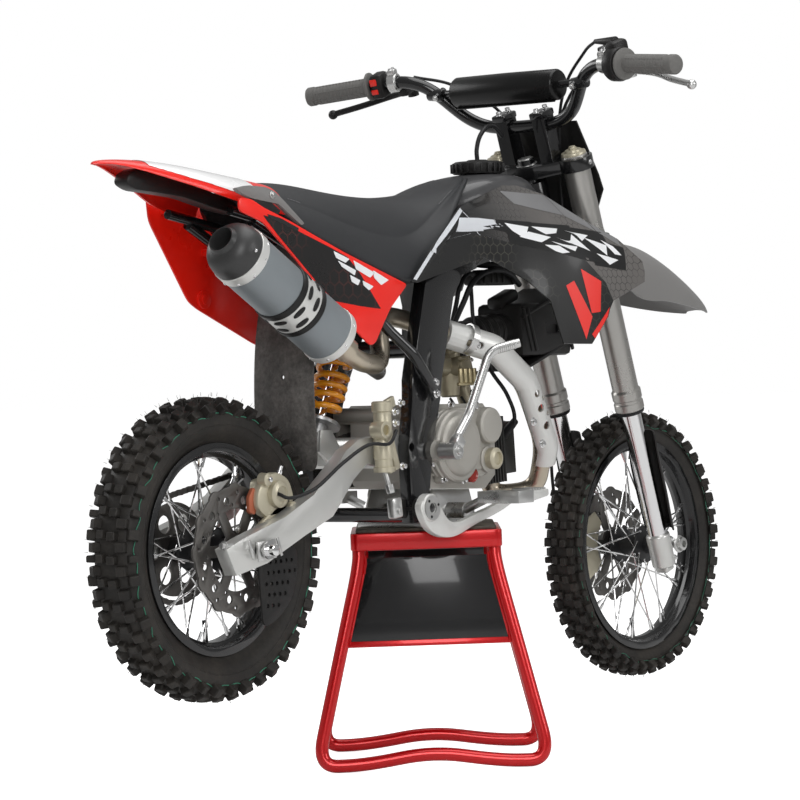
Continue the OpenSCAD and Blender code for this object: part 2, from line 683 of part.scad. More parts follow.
seat_half = 112;
module seat() color("#2a2a2c") bike() difference() {
    intersection() {
        side_plate([[92, 526], [100, 566], [160, 572], [263, 562], [380, 548], [478, 550], [560, 560], [640, 582],
            [686, 590], [684, 585], [639.6, 570.5], [603.6, 552.8], [570, 522], [436, 400], [404, 404]],
            -seat_half, seat_half);
        front_block([[-seat_half, 390], [-seat_half + 2, 480], [-78, 540], [-40, 600], [40, 600], [78, 540],
            [seat_half - 2, 480], [seat_half, 390]], 80, 700);
    }
    seat_base = rail_d / 2 + seat_gap;
    side_plate([[80, 500], [80, rail_c.z - 13 + seat_base], [rail_b.x, rail_b.z + seat_base], [440, 446 + seat_base],
        [470, 464], [520, 480], [590, 510], [602, 560], [700, 640], [700, 300], [380, 300]],
        -seat_half + 18, seat_half - 18);
}

module rear_fender() color("#e03028") bike() {
    side_plate([[-229, 592], [-229, 596], [-190, 602], [149, 575], [149, 571], [-188, 596]], -70, 70);
    both_sides() side_plate([[-229, 594], [-190, 601], [86, 578], [86, 519.6], [10, 533], [-40, 546], [-180, 552]], 62, 66);
}

module side_panels() color("#e03028") bike() {
    translate([0, -112, 0]) side_plate([[-2, 537], [384, 404], [372, 384], [340, 364], [319, 324], [300, 309],
        [286, 314], [236, 354], [200, 388], [114, 446], [25, 507]], -4, 0);
    for (s = [-1, 1]) for (at = [[270, 80, 409], [150, 72, 465.6]])
        bar([at.x, s * (at.y + strut_d / 2 + 0.9), at.z], [at.x, s * 113, at.z], 12);
    translate([0, 116, 0]) side_plate([[16, 557], [150, 545], [384, 404], [340, 364], [319, 324], [300, 309],
        [270, 316], [105, 384], [13, 514]], -4, 0);
}

// Rows of [x, y, z] points, rear to front, from the shroud's top edge down to its low edge.
shroud_rows = [
    [[402, 118, 412], [470, 117, 470], [545, 100, 532], [640, 80.5, 556], [738, 80.5, 576], [800, 95, 560], [896, 148, 487],
        [936, 178, 454]],
    [[404, 120, 410], [492, 117, 458], [575, 108, 508], [660, 104, 530], [750, 120, 535], [830, 150, 502],
        [900, 176, 461], [944, 192, 430]],
    [[406, 121, 409], [512, 120, 446], [595, 116, 484], [684, 126, 500], [770, 152, 484], [840, 178, 446],
        [884, 190, 412], [948, 199, 407]],
    [[408, 122, 408], [536, 121, 438], [620, 124, 456], [700, 144, 436], [765, 166, 396], [812, 180, 370],
        [842, 188, 362], [880, 192, 376]],
    [[410, 123, 406], [556, 121, 430], [604, 122, 440], [660, 142, 408], [710, 164, 372], [744, 174, 304],
        [814, 186, 302], [862, 190, 362]]];
shell_t = 3.5;
module shell_grid(rows, t) {
    h = len(rows);
    w = len(rows[0]);
    outer = [for (r = rows) each r];
    inner = [for (p = outer) p - [0, t, 0]];
    n = h * w;
    skin = [for (i = [0 : h - 2], k = [0 : w - 2]) let (a = i * w + k, b = a + 1, c = a + w + 1, d = a + w)
        each [[a, c, b], [a, d, c]]];
    rim = concat([for (k = [0 : w - 2]) [k, k + 1]], [for (i = [0 : h - 2]) [i * w + w - 1, (i + 1) * w + w - 1]],
        [for (k = [w - 2 : -1 : 0]) [(h - 1) * w + k + 1, (h - 1) * w + k]], [for (i = [h - 2 : -1 : 0]) [(i + 1) * w, i * w]]);
    polyhedron(concat(outer, inner), concat(skin, [for (f = skin) [f[0] + n, f[2] + n, f[1] + n]],
        [for (e = rim) each [[e[0], e[1], e[0] + n], [e[1], e[1] + n, e[0] + n]]]), 4);
}

module tank_shrouds() color("#5b5b5b") bike() both_sides() {
    shell_grid(shroud_rows, shell_t);
    across([690, 0, 540], 12, 76 + seat_gap, 106);
    across([780, 0, 560], 12, 76 + seat_gap, 94);
}

module mud_flap() color("#2b2826") bike() difference() {
    side_plate([[196, 112], [232, 112], [251, 200], [257, 345], [244, 484], [222, 484], [226, 345], [206, 250]],
        -57.2, 57.2);
    side_plate([[180, 100], [225, 100], [244, 200], [250, 345], [237, 490], [180, 490]], -53.4, 53.4);
}

// Cables held along the frame: throttle and clutch cables, and the rear brake hose.
cable_d = 6;
rear_hose = [[330, -126, 170], [300, -134, 150], [262, -122, 150], [200, -118, 124], [130, -118, 88], [72, -116, 76],
    [62, -100, 82], [66, -87.6, 86]];
module frame_cables() color("#101010") bike() {
    sweep(curve(rear_hose, 5), cable_d, 8);
}

// ---------------------------------------------------------------- steering
clamp_t = 22;
module clamp(w, back) difference() {
    union() {
        translate([0, 0, w]) linear_extrude(clamp_t) union() {
            for (s = [-1, 1]) translate([clamp_offset, s * fork_half]) circle(d = fork_outer_d + 16);
            polygon([[-back, -28], [-back, 28], [clamp_offset - 10, fork_half + 12], [clamp_offset + 22, fork_half],
                [clamp_offset + 12, 0], [clamp_offset + 22, -fork_half], [clamp_offset - 10, -fork_half - 12]]);
        }
    }
    for (s = [-1, 1]) translate([clamp_offset, s * fork_half, w - 1])
        cylinder(d = fork_outer_d + 2 * seat_gap, h = clamp_t + 2);
}

clamp_low = -86;
clamp_high = 62;
module lower_clamp() color("#151515") fork_frame() {
    clamp(clamp_low, 24);
    translate([0, 0, clamp_low + clamp_t]) cylinder(d = head_bore - 2 * bearing_gap, h = clamp_high - clamp_low - clamp_t - seat_gap);
}

bar_at = [20, 0, 149];
bar_clamp_y = 40;
module top_clamp() color("#151515") fork_frame() {
    difference() {
        union() {
            clamp(clamp_high, 24);
            translate([0, 0, clamp_high + clamp_t]) cylinder(d = 30, h = 10, $fn = 6);
            for (s = [-1, 1]) translate([bar_at.x - 16, s * bar_clamp_y - 13, clamp_high + clamp_t]) cube([32, 26, 84]);
        }
        translate([bar_at.x, 0, bar_at.z]) rotate([90, 0, 0]) cylinder(d = bar_d + 2 * seat_gap, h = 200, center = true);
    }
}

axle_w = -fork_l;
seal_l = 40;
outer_low = -386;
module fork_outers() color("#8b8b86") fork_frame() both_sides() translate([clamp_offset, fork_half, 0]) difference() {
    union() {
        translate([0, 0, outer_low]) cylinder(d = fork_outer_d, h = 88 - outer_low);
        translate([0, 0, outer_low]) cylinder(d = fork_outer_d + 6, h = seal_l);
        translate([0, 0, 88]) cylinder(d = 30, h = 8, $fn = 6);
    }
    translate([0, 0, outer_low - 1]) cylinder(d = fork_inner_d + 2 * seat_gap, h = 321);
}

module fork_inners() color("#d5d5d5") fork_frame() both_sides() difference() {
    union() {
        translate([clamp_offset, fork_half, axle_w + 20]) cylinder(d = fork_inner_d, h = 200 + outer_low - axle_w);
        translate([clamp_offset, fork_half, axle_w - 30]) cylinder(d = fork_inner_d + 8, h = 64);
        translate([clamp_offset, fork_half - 16, axle_w - 18]) cube([axle_lead + 4, 32, 36]);
        translate([clamp_offset + axle_lead, fork_half + 16, axle_w]) rotate([90, 0, 0]) cylinder(d = 38, h = 32);
    }
    translate([clamp_offset + axle_lead, 200, axle_w]) rotate([90, 0, 0])
        cylinder(d = axle_d + 2 * seat_gap, h = 400);
}

module front_axle() color("silver") fork_frame() translate([clamp_offset + axle_lead, 0, axle_w]) {
    across([0, 0, 0], axle_d, -fork_half - 22, fork_half + 22);
    both_sides() {
        difference() {
            translate([0, fork_half + 27, 0]) rotate([90, 0, 0]) cylinder(d = 26, h = 10, $fn = 6);
            across([0, 0, 0], axle_d, 0, 200);
        }
        difference() {
            across([0, 0, 0], 24, front_hub_half + 1, fork_half - 16 - seat_gap);
            across([0, 0, 0], axle_d, 0, 200);
        }
    }
}

module fork_guards() color("#111111") fork_frame() both_sides() translate([clamp_offset, fork_half, 0]) {
    difference() {
        translate([10, -10, axle_w + 40]) cube([22, 20, 12]);
        cylinder(d = fork_inner_d + 2 * seat_gap, h = 2 * fork_l, center = true);
    }
    intersection() {
        difference() {
            translate([0, 0, axle_w + 36]) cylinder(r = 33, h = 190);
            translate([0, 0, axle_w + 35]) cylinder(r = 30, h = 192);
        }
        translate([8, -24, axle_w + 30]) cube([40, 56, 210]);
    }
}

crossbar_at = [bar_at.x - 26, 0, 224];
crossbar_d = 13;
bar_low_y = 96;
module handlebar() color("#151515") fork_frame() {
    half = [[bar_at.x, bar_low_y, bar_at.z], bar_bend, bar_end];
    bent_tube(concat([for (i = [2 : -1 : 0]) half[i]], [for (p = half) [p.x, -p.y, p.z]]), bar_d, 46);
    translate(crossbar_at) rotate([90, 0, 0]) cylinder(d = crossbar_d, h = 300, center = true);
}

module bar_pad() color("#141414") fork_frame() translate(crossbar_at) rotate([90, 0, 0]) difference() {
    cylinder(d = pad_d, h = pad_l, center = true);
    cylinder(d = crossbar_d + 2 * seat_gap, h = pad_l + 2, center = true);
}

// A point on the grip's centre line, t in from the bar's end, on side s (1 left, -1 right).
grip_half = bar_w / 2;
grip_l = 120;
bar_end = [bar_at.x - 84, grip_half - 2, 254];
bar_bend = [bar_at.x - 34, grip_half - 212, 258];
grip_in = unit(bar_bend - bar_end);
function on_grip(s, t) = let (p = bar_end + grip_in * t) [p.x, s * p.y, p.z];

module grips() color("#77777a") fork_frame() for (s = [-1, 1]) difference() {
    union() {
        bar(on_grip(s, -2), on_grip(s, grip_l), grip_d);
        bar(on_grip(s, grip_l), on_grip(s, grip_l + 5), grip_d + 18);
    }
    bar(on_grip(s, 0), on_grip(s, grip_l + 30), bar_d + 2 * seat_gap);
}

module bar_controls() color("#121212") fork_frame() difference() {
    union() {
        bar(on_grip(-1, grip_l + 5.3), on_grip(-1, grip_l + 34), 44);
        bar(on_grip(-1, grip_l + 40), on_grip(-1, grip_l + 62), 34);
        bar(on_grip(1, grip_l + 12), on_grip(1, grip_l + 30), 38);
        bar(on_grip(1, grip_l + 38), on_grip(1, grip_l + 58), 34);
        bar(on_grip(-1, grip_l + 20) + [14, 0, 8], on_grip(-1, grip_l + 20) + [20, 26, 40], 14);
        for (s = [-1, 1]) bar(on_grip(s, grip_l + 50) + [8, 0, 0], on_grip(s, grip_l + 42) + [56, 0, -lever_drop], 16);
        bar(on_grip(-1, grip_l + 82) + [34, 0, 2], on_grip(-1, grip_l + 34) + [40, 0, 4], 26);
    }
    for (s = [-1, 1]) bar(on_grip(s, 0), on_grip(s, grip_l + 80), bar_d + 2 * seat_gap);
}

lever_drop = 30;
module hand_levers() color("silver") fork_frame() for (s = [-1, 1]) {
    tilt = [0, 0, -lever_drop];
    sweep(curve([on_grip(s, grip_l + 40) + [62, 0, 0] + tilt, on_grip(s, grip_l - 6) + [70, 0, -6] + tilt,
        on_grip(s, 60) + [54, 0, -12] + tilt, on_grip(s, 14) + [44, 0, -16] + tilt], 4), 11, 10);
    translate(on_grip(s, 8) + [43, 0, -17] + tilt) sphere(d = 17);
}

plate_u = 68;
module number_plate() color("#101010") fork_frame() {
    rotate([90, 0, 90]) translate([0, 0, plate_u]) linear_extrude(4)
        polygon([[-70, -44], [-100, 12], [-94, 60], [-76, 137], [76, 137], [94, 60], [100, 12], [70, -44]]);
    for (s = [-1, 1]) bar([clamp_offset + 12 + 10 * 30 / fork_half + 1, s * 30, clamp_high + 11],
        [plate_u + 1, s * 30, clamp_high + 11], 10);
}

module front_fender() color("#6b6a68") bike() intersection() {
    union() {
        side_plate([[934, 414], [990, 444], [1100, 478], [1221, 475], [1307, 429], [1383, 397], [1425, 352],
            [1419, 350], [1377, 391], [1304, 424], [1218, 469], [1100, 472], [992, 438], [940, 408]], -70, 70);
        both_sides() side_plate([[1060, 466], [1100, 474], [1221, 471], [1300, 428], [1220, 440], [1130, 380],
            [1090, 420]], 58, 62);
        translate(head) rotate([0, -rake, 0]) translate([clamp_offset, 0, clamp_low - seat_gap])
            mirror([0, 0, 1]) cylinder(d = 34, h = 24);
    }
    plan_block([[920, -48], [1096, -48], [1140, -64], [1330, -60], [1425, -14], [1425, 14], [1330, 60], [1140, 64],
        [1096, 48], [920, 48]], 300, 520);
}

module front_caliper() color("#b5aa90") bike() translate(front_hub) difference() {
    side_plate([[-34, -30], [-96, -64], [-118, -10], [-104, 44], [-66, 62], [-34, 30]], 36, 62);
    translate([0, front_disc_y + 7, 0]) rotate([90, 0, 0]) cylinder(r = disc_r + 1.5, h = 14);
    translate([0, 70, 0]) rotate([90, 0, 0]) cylinder(r = 60, h = 60);
}

module steering_cables() color("#101010") fork_frame() {
    sweep(curve([[92, -150, 230], [110, -60, 190], [92, 20, 60], [84, 80, -60], [72, 112, -200], [66, 118, -330],
        [50, 122, -450], [20, 116, -530], [-6, 100, -588], [-11, 64, -610]], 5), cable_d, 8);
}

stand_frame();
stand_panels();
stand_pad();
main_frame();
subframe();
swingarm();
rear_axle();
chain();
rear_caliper();
disc_guard();
shock_body();
shock_spring();
engine_block();
clutch_cover();
cylinder_part();  // cylinder
carburettor();
airbox();
exhaust_pipe();
heat_shield();
silencer();
silencer_cap();
kick_lever();
gear_lever();
brake_pedal();
rear_master_cylinder();
footpegs();
fuel_tank();
tank_cap();
seat();
rear_fender();
side_panels();
tank_shrouds();
mud_flap();
frame_cables();
lower_clamp();
top_clamp();
fork_outers();
fork_inners();
fork_guards();
handlebar();
bar_pad();
grips();
bar_controls();
hand_levers();
number_plate();
front_fender();
front_caliper();
front_axle();
steering_cables();
front_tyre();
front_rim();
front_spokes();
front_disc();
rear_tyre();
rear_rim();
rear_spokes();
rear_disc();
rear_sprocket();
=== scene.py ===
"""Looks of a pit bike on its paddock stand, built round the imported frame."""
import json
import math
import random

import bpy
from mathutils import Matrix, Vector


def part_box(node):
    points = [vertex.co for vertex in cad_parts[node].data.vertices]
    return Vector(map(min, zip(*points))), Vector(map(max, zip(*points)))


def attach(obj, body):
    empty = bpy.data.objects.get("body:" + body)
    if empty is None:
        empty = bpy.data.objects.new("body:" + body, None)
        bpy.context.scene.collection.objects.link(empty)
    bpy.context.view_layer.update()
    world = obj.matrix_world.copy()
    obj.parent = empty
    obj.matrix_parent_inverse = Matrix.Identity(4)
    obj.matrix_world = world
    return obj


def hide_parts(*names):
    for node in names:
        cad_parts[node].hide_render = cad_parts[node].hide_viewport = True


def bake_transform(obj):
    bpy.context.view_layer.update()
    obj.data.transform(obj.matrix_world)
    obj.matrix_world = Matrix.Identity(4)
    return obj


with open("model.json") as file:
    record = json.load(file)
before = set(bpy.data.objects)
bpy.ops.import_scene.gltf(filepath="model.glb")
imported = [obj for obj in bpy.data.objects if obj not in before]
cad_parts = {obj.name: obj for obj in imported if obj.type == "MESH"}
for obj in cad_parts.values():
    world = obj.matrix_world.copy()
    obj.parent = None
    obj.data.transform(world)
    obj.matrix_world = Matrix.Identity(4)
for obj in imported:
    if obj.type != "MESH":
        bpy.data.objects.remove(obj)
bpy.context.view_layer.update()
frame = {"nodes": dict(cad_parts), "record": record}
random.seed(12)

# ------------------------------------------------------------------ places
MM = 0.001
REAR_HUB = sum(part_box("rear_rim"), Vector()) / 2
FRONT_HUB = sum(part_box("front_rim"), Vector()) / 2
BIKE = REAR_HUB - Vector((-0.093, 0, -0.254)) * MM
JOINTS = {joint["name"]: joint for joint in frame["record"]["behaviour"]["joints"]}
HEAD = Vector(JOINTS["steering"]["pos_m"])
FORK_UP = Vector(JOINTS["steering"]["axis"])
RAKE = math.atan2(-FORK_UP.x, FORK_UP.z)
FORK_AHEAD = Vector((math.cos(RAKE), 0, math.sin(RAKE)))


def at(x, y, z):
    """A place on the bike, in millimetres from the rear axle."""
    return BIKE + Vector((x, y, z)) * MM


def on_fork(x, y, z):
    """A place in the fork's own frame: ahead, left and up the steering axis."""
    return HEAD + (FORK_AHEAD * x + Vector((0, y, 0)) + FORK_UP * z) * MM


# ------------------------------------------------------------------ camera and light
def aim_camera():
    """The camera stands behind the bike on its right side."""
    azimuth, elevation, roll = map(math.radians, (-52.49, 0.87, -1.98))
    back = Vector((math.sin(azimuth) * math.cos(elevation), -math.cos(azimuth) * math.cos(elevation), math.sin(elevation)))
    right = Vector((0, 0, 1)).cross(back).normalized()
    up = back.cross(right)
    turned = Matrix((right, up, back)).transposed() @ Matrix.Rotation(roll, 3, "Z")
    camera = bpy.data.objects.new("camera", bpy.data.cameras.new("camera"))
    bpy.context.scene.collection.objects.link(camera)
    camera.matrix_world = Matrix.Translation((-4.8317, -3.6415, 0.6964)) @ turned.to_4x4()
    camera.data.sensor_width = 36
    camera.data.lens = 161.6
    camera.data.clip_end = 60
    bpy.context.scene.camera = camera


def area_light(name, place, aim, size, power):
    light = bpy.data.lights.new(name, "AREA")
    light.shape, light.size, light.size_y, light.energy = "RECTANGLE", size[0], size[1], power
    lamp = bpy.data.objects.new(name, light)
    lamp.location = place
    lamp.rotation_euler = (Vector(place) - Vector(aim)).to_track_quat("Z", "Y").to_euler()
    bpy.context.scene.collection.objects.link(lamp)


def light_studio():
    middle = (0, 0, 0.6)
    area_light("overhead_light", (0.3, -0.6, 3.6), middle, (3.2, 2.2), 62)
    area_light("key_light", (-3.2, -2.6, 2.2), middle, (1.5, 2.4), 58)
    area_light("front_light", (1.0, -4.3, 2.1), middle, (1.6, 1.8), 44)
    area_light("far_light", (-0.5, 3.4, 2.4), middle, (2.8, 1.4), 40)
    world = bpy.data.worlds.new("white_room")
    bpy.context.scene.world = world
    world.use_nodes = True
    nodes, links = world.node_tree.nodes, world.node_tree.links
    background = nodes["Background"]
    background.inputs["Color"].default_value = (1, 1, 1, 1)
    path = nodes.new("ShaderNodeLightPath")
    seen = nodes.new("ShaderNodeMath")
    seen.operation = "MAXIMUM"
    strength = nodes.new("ShaderNodeMapRange")
    strength.inputs["To Min"].default_value = 0.26
    strength.inputs["To Max"].default_value = 1.0
    glossy = nodes.new("ShaderNodeMath")
    glossy.operation = "MULTIPLY"
    glossy.inputs[1].default_value = 0.12
    links.new(path.outputs["Is Glossy Ray"], glossy.inputs[0])
    links.new(path.outputs["Is Camera Ray"], seen.inputs[0])
    links.new(glossy.outputs[0], seen.inputs[1])
    links.new(seen.outputs[0], strength.inputs["Value"])
    links.new(strength.outputs["Result"], background.inputs["Strength"])
    bpy.context.scene.view_settings.view_transform = "Standard"


def lay_floor():
    bpy.ops.mesh.primitive_plane_add(size=60, location=(0, 0, -0.0005))
    floor = bpy.context.object
    floor.name = "studio_floor"
    material = bpy.data.materials.new("white_floor")
    material.use_nodes = True
    nodes, links = material.node_tree.nodes, material.node_tree.links
    surface = nodes["Principled BSDF"]
    surface.inputs["Base Color"].default_value = (0.9, 0.9, 0.9, 1)
    surface.inputs["Roughness"].default_value = 0.9
    surface.inputs["Specular IOR Level"].default_value = 0.0
    surface.inputs["Emission Color"].default_value = (1, 1, 1, 1)
    path = nodes.new("ShaderNodeLightPath")
    glow = nodes.new("ShaderNodeMath")
    glow.operation = "MULTIPLY"
    glow.inputs[1].default_value = 0.85
    links.new(path.outputs["Is Camera Ray"], glow.inputs[0])
    links.new(glow.outputs[0], surface.inputs["Emission Strength"])
    floor.data.materials.append(material)


# ------------------------------------------------------------------ effects shared by materials
def effect_group(name, inputs, outputs):
    """A node group with named sockets; inputs are (name, kind, value)."""
    group = bpy.data.node_groups.new(name, "ShaderNodeTree")
    for label, kind, value in inputs:
        made = group.interface.new_socket(label, in_out="INPUT", socket_type="NodeSocket" + kind)
        made.default_value = value
    for label, kind in outputs:
        group.interface.new_socket(label, in_out="OUTPUT", socket_type="NodeSocket" + kind)
    return group, group.nodes.new("NodeGroupInput"), group.nodes.new("NodeGroupOutput")


def wire(tree, kind, settings=None, **inputs):
    """Adds a node, sets its properties and joins or sets its inputs by name or place (in_0)."""
    node = tree.nodes.new("ShaderNode" + kind)
    for key, value in (settings or {}).items():
        setattr(node, key, value)
    for key, value in inputs.items():
        place = node.inputs[int(key[3:])] if key.startswith("in_") else node.inputs[key.replace("_", " ")]
        if isinstance(value, bpy.types.NodeSocket):
            tree.links.new(value, place)
        else:
            place.default_value = value
    return node


def mix(tree, factor, a, b, blend="MIX"):
    node = wire(tree, "Mix", {"data_type": "RGBA", "blend_type": blend}, in_0=factor, in_6=a, in_7=b)
    return node.outputs[2]


def math_node(tree, operation, a, b=0.0):
    return wire(tree, "Math", {"operation": operation}, in_0=a, in_1=b).outputs[0]


def make_weathering():
    """Patchy colour, fine specks and settled dust."""
    group, given, out = effect_group(
        "weathering",
        [("Colour", "Color", (0.5, 0.5, 0.5, 1)), ("Variation", "Float", 0.1), ("Scale", "Float", 6.0),
         ("Dust Colour", "Color", (0.3, 0.26, 0.2, 1)), ("Dust", "Float", 0.0)],
        [("Colour", "Color"), ("Mask", "Float")])
    place = wire(group, "TexCoord").outputs["Object"]
    patches = wire(group, "TexNoise", Vector=place, Scale=given.outputs["Scale"], Detail=6.0, Roughness=0.62).outputs["Fac"]
    centred = math_node(group, "MULTIPLY", math_node(group, "SUBTRACT", patches, 0.5), given.outputs["Variation"])
    bright = wire(group, "HueSaturation", Color=given.outputs["Colour"],
                  Value=math_node(group, "ADD", math_node(group, "MULTIPLY", centred, 2.4), 1.0)).outputs[0]
    specks = wire(group, "TexNoise", Vector=place, Scale=140.0, Detail=3.0, Roughness=0.7).outputs["Fac"]
    dusty = math_node(group, "MULTIPLY", math_node(group, "POWER", patches, 2.0), math_node(group, "MULTIPLY", specks, 4.0))
    amount = wire(group, "Math", {"operation": "MULTIPLY", "use_clamp": True}, in_0=dusty, in_1=given.outputs["Dust"]).outputs[0]
    group.links.new(mix(group, amount, bright, given.outputs["Dust Colour"]), out.inputs["Colour"])
    group.links.new(patches, out.inputs["Mask"])
    return group


def make_grain():
    """Fine moulded or cast grain as a height."""
    group, given, out = effect_group("grain", [("Scale", "Float", 600.0), ("Coarse", "Float", 0.3)], [("Height", "Float")])
    place = wire(group, "TexCoord").outputs["Object"]
    fine = wire(group, "TexNoise", Vector=place, Scale=given.outputs["Scale"], Detail=2.0).outputs["Fac"]
    broad = wire(group, "TexNoise", Vector=place, Scale=math_node(group, "MULTIPLY", given.outputs["Scale"], 0.12), Detail=3.0).outputs["Fac"]
    both = math_node(group, "ADD", fine, math_node(group, "MULTIPLY", broad, given.outputs["Coarse"]))
    group.links.new(both, out.inputs["Height"])
    return group


def make_brushing():
    """Brushed lines along the bike, for worked metal."""
    group, given, out = effect_group("brushing", [("Scale", "Float", 500.0)], [("Height", "Float"), ("Mask", "Float")])
    place = wire(group, "TexCoord").outputs["Object"]
    stretched = wire(group, "VectorMath", {"operation": "MULTIPLY"}, in_0=place, in_1=(0.05, 1.0, 1.0)).outputs[0]
    lines = wire(group, "TexNoise", Vector=stretched, Scale=given.outputs["Scale"], Detail=4.0, Roughness=0.7).outputs["Fac"]
    broad = wire(group, "TexNoise", Vector=place, Scale=14.0, Detail=3.0).outputs["Fac"]
    group.links.new(lines, out.inputs["Height"])
    group.links.new(broad, out.inputs["Mask"])
    return group


def make_hides():
    """Leather-like pebbles for the seat cover."""
    group, given, out = effect_group("pebbled_cover", [("Scale", "Float", 520.0)], [("Height", "Float")])
    place = wire(group, "TexCoord").outputs["Object"]
    cells = wire(group, "TexVoronoi", {"feature": "DISTANCE_TO_EDGE"}, Vector=place, Scale=given.outputs["Scale"]).outputs["Distance"]
    soft = wire(group, "TexNoise", Vector=place, Scale=90.0, Detail=3.0).outputs["Fac"]
    group.links.new(math_node(group, "ADD", math_node(group, "MINIMUM", cells, 0.22), math_node(group, "MULTIPLY", soft, 0.3)), out.inputs["Height"])
    return group


def make_hexes():
    """Honeycomb lines seen from the side; the mask is 1 on the lines, Fade is a slow patchiness."""
    group, given, out = effect_group("honeycomb", [("Scale", "Float", 60.0), ("Line", "Float", 0.06)], [("Mask", "Float"), ("Fade", "Float")])
    place = wire(group, "TexCoord").outputs["Object"]
    parts = wire(group, "SeparateXYZ", Vector=place)
    flat = wire(group, "CombineXYZ", X=parts.outputs["X"], Y=parts.outputs["Z"], Z=0.0).outputs[0]
    scaled = wire(group, "VectorMath", {"operation": "SCALE"}, in_0=flat, Scale=given.outputs["Scale"]).outputs[0]
    cell, half = (1.0, 1.7320508, 1.0), (0.5, 0.8660254, 0.0)

    def folded(vector):
        wrapped = wire(group, "VectorMath", {"operation": "WRAP"}, in_0=vector, in_1=cell, in_2=(0.0, 0.0, 0.0)).outputs[0]
        flat_cell = wire(group, "VectorMath", {"operation": "MULTIPLY"}, in_0=wrapped, in_1=(1.0, 1.0, 0.0)).outputs[0]
        return wire(group, "VectorMath", {"operation": "SUBTRACT"}, in_0=flat_cell, in_1=half).outputs[0]

    def reach(vector):
        size = wire(group, "VectorMath", {"operation": "ABSOLUTE"}, in_0=vector).outputs[0]
        slant = wire(group, "VectorMath", {"operation": "DOT_PRODUCT"}, in_0=size, in_1=half).outputs["Value"]
        return math_node(group, "MAXIMUM", wire(group, "SeparateXYZ", Vector=size).outputs["X"], slant)

    first = reach(folded(scaled))
    second = reach(folded(wire(group, "VectorMath", {"operation": "SUBTRACT"}, in_0=scaled, in_1=half).outputs[0]))
    distance = math_node(group, "MINIMUM", first, second)
    edge = math_node(group, "SUBTRACT", 0.5, given.outputs["Line"])
    group.links.new(math_node(group, "GREATER_THAN", distance, edge), out.inputs["Mask"])
    fade = wire(group, "TexNoise", Vector=flat, Scale=9.0, Detail=1.0).outputs["Fac"]
    group.links.new(wire(group, "MapRange", Value=fade, From_Min=0.42, From_Max=0.62).outputs[0], out.inputs["Fade"])
    return group


EFFECTS = {"weathering": make_weathering(), "grain": make_grain(), "brushing": make_brushing(),
           "pebbled_cover": make_hides(), "honeycomb": make_hexes()}


def effect(tree, name, **inputs):
    node = tree.nodes.new("ShaderNodeGroup")
    node.node_tree = EFFECTS[name]
    for key, value in inputs.items():
        place = node.inputs[key.replace("_", " ")]
        if isinstance(value, bpy.types.NodeSocket):
            tree.links.new(value, place)
        else:
            place.default_value = value
    return node


def finish(name, colour, roughness, metallic=0.0, bump=0.15, grain=700.0, coarse=0.3, variation=0.12, scale=7.0,
           dust=0.0, dust_colour=(0.28, 0.24, 0.19), surface="grain", coat=0.0, spread=0.12, painted=None):
    """A material: weathered colour, roughness that varies, and a surface height from one of the effects."""
    material = bpy.data.materials.new(name)
    material.use_nodes = True
    tree = material.node_tree
    shader = tree.nodes["Principled BSDF"]
    base = (*colour, 1)
    if painted:
        base = painted(tree)
    worn = effect(tree, "weathering", Colour=base, Variation=variation, Scale=scale, Dust_Colour=(*dust_colour, 1), Dust=dust)
    tree.links.new(worn.outputs["Colour"], shader.inputs["Base Color"])
    rough = wire(tree, "MapRange", Value=worn.outputs["Mask"], From_Min=0.3, From_Max=0.7,
                 To_Min=max(0.02, roughness - spread / 2), To_Max=min(1.0, roughness + spread / 2))
    tree.links.new(rough.outputs[0], shader.inputs["Roughness"])
    shader.inputs["Metallic"].default_value = metallic
    shader.inputs["Specular IOR Level"].default_value = 0.5 if metallic or max(colour) > 0.4 else 0.26
    shader.inputs["Coat Weight"].default_value = coat
    if coat:
        shader.inputs["Coat Roughness"].default_value = 0.06
    sized = {"Scale": grain, "Coarse": coarse} if surface == "grain" else {"Scale": grain}
    height = effect(tree, surface, **sized).outputs["Height"]
    relief = wire(tree, "Bump", Height=height, Strength=bump, Distance=0.0006)
    tree.links.new(relief.outputs[0], shader.inputs["Normal"])
    return material


# ------------------------------------------------------------------ modelling helpers
def pick(thing):
    """Makes one object the only selected and the active one."""
    bpy.ops.object.select_all(action="DESELECT")
    thing.select_set(True)
    bpy.context.view_layer.objects.active = thing
    return thing


def settle(thing):
    """Applies an object's place, so that it sits at the origin."""
    pick(thing)
    bpy.ops.object.transform_apply(location=True, rotation=True, scale=True)
    return thing


def shape(thing, kind, **settings):
    """Adds a modifier and applies it."""
    pick(thing)
    modifier = thing.modifiers.new(kind.lower(), kind)
    for key, value in settings.items():
        setattr(modifier, key, value)
    bpy.ops.object.modifier_apply(modifier=modifier.name)
    return thing


def soften(thing, angle=34):
    pick(thing)
    bpy.ops.object.shade_smooth_by_angle(angle=math.radians(angle))
    return thing


def round_edges(thing, width, segments=2, angle=32):
    shape(thing, "BEVEL", width=width * MM, segments=segments, limit_method="ANGLE", angle_limit=math.radians(angle),
          use_clamp_overlap=True)
    return soften(thing)


def outward(thing):
    """Merges doubled points and turns every face outwards."""
    pick(thing)
    bpy.ops.object.mode_set(mode="EDIT")
    bpy.ops.mesh.select_all(action="SELECT")
    bpy.ops.mesh.remove_doubles(threshold=0.00002)
    bpy.ops.mesh.normals_make_consistent(inside=False)
    bpy.ops.object.mode_set(mode="OBJECT")
    return thing


def join(things, name):
    pick(things[0])
    for thing in things:
        thing.select_set(True)
    if len(things) > 1:
        bpy.ops.object.join()
    things[0].name = things[0].data.name = name
    return things[0]


def copy_of(thing, turn=None):
    """A copy with its own mesh, moved by a matrix."""
    made = bpy.data.objects.new(thing.name, thing.data.copy())
    bpy.context.scene.collection.objects.link(made)
    if turn is not None:
        made.data.transform(turn)
    return made


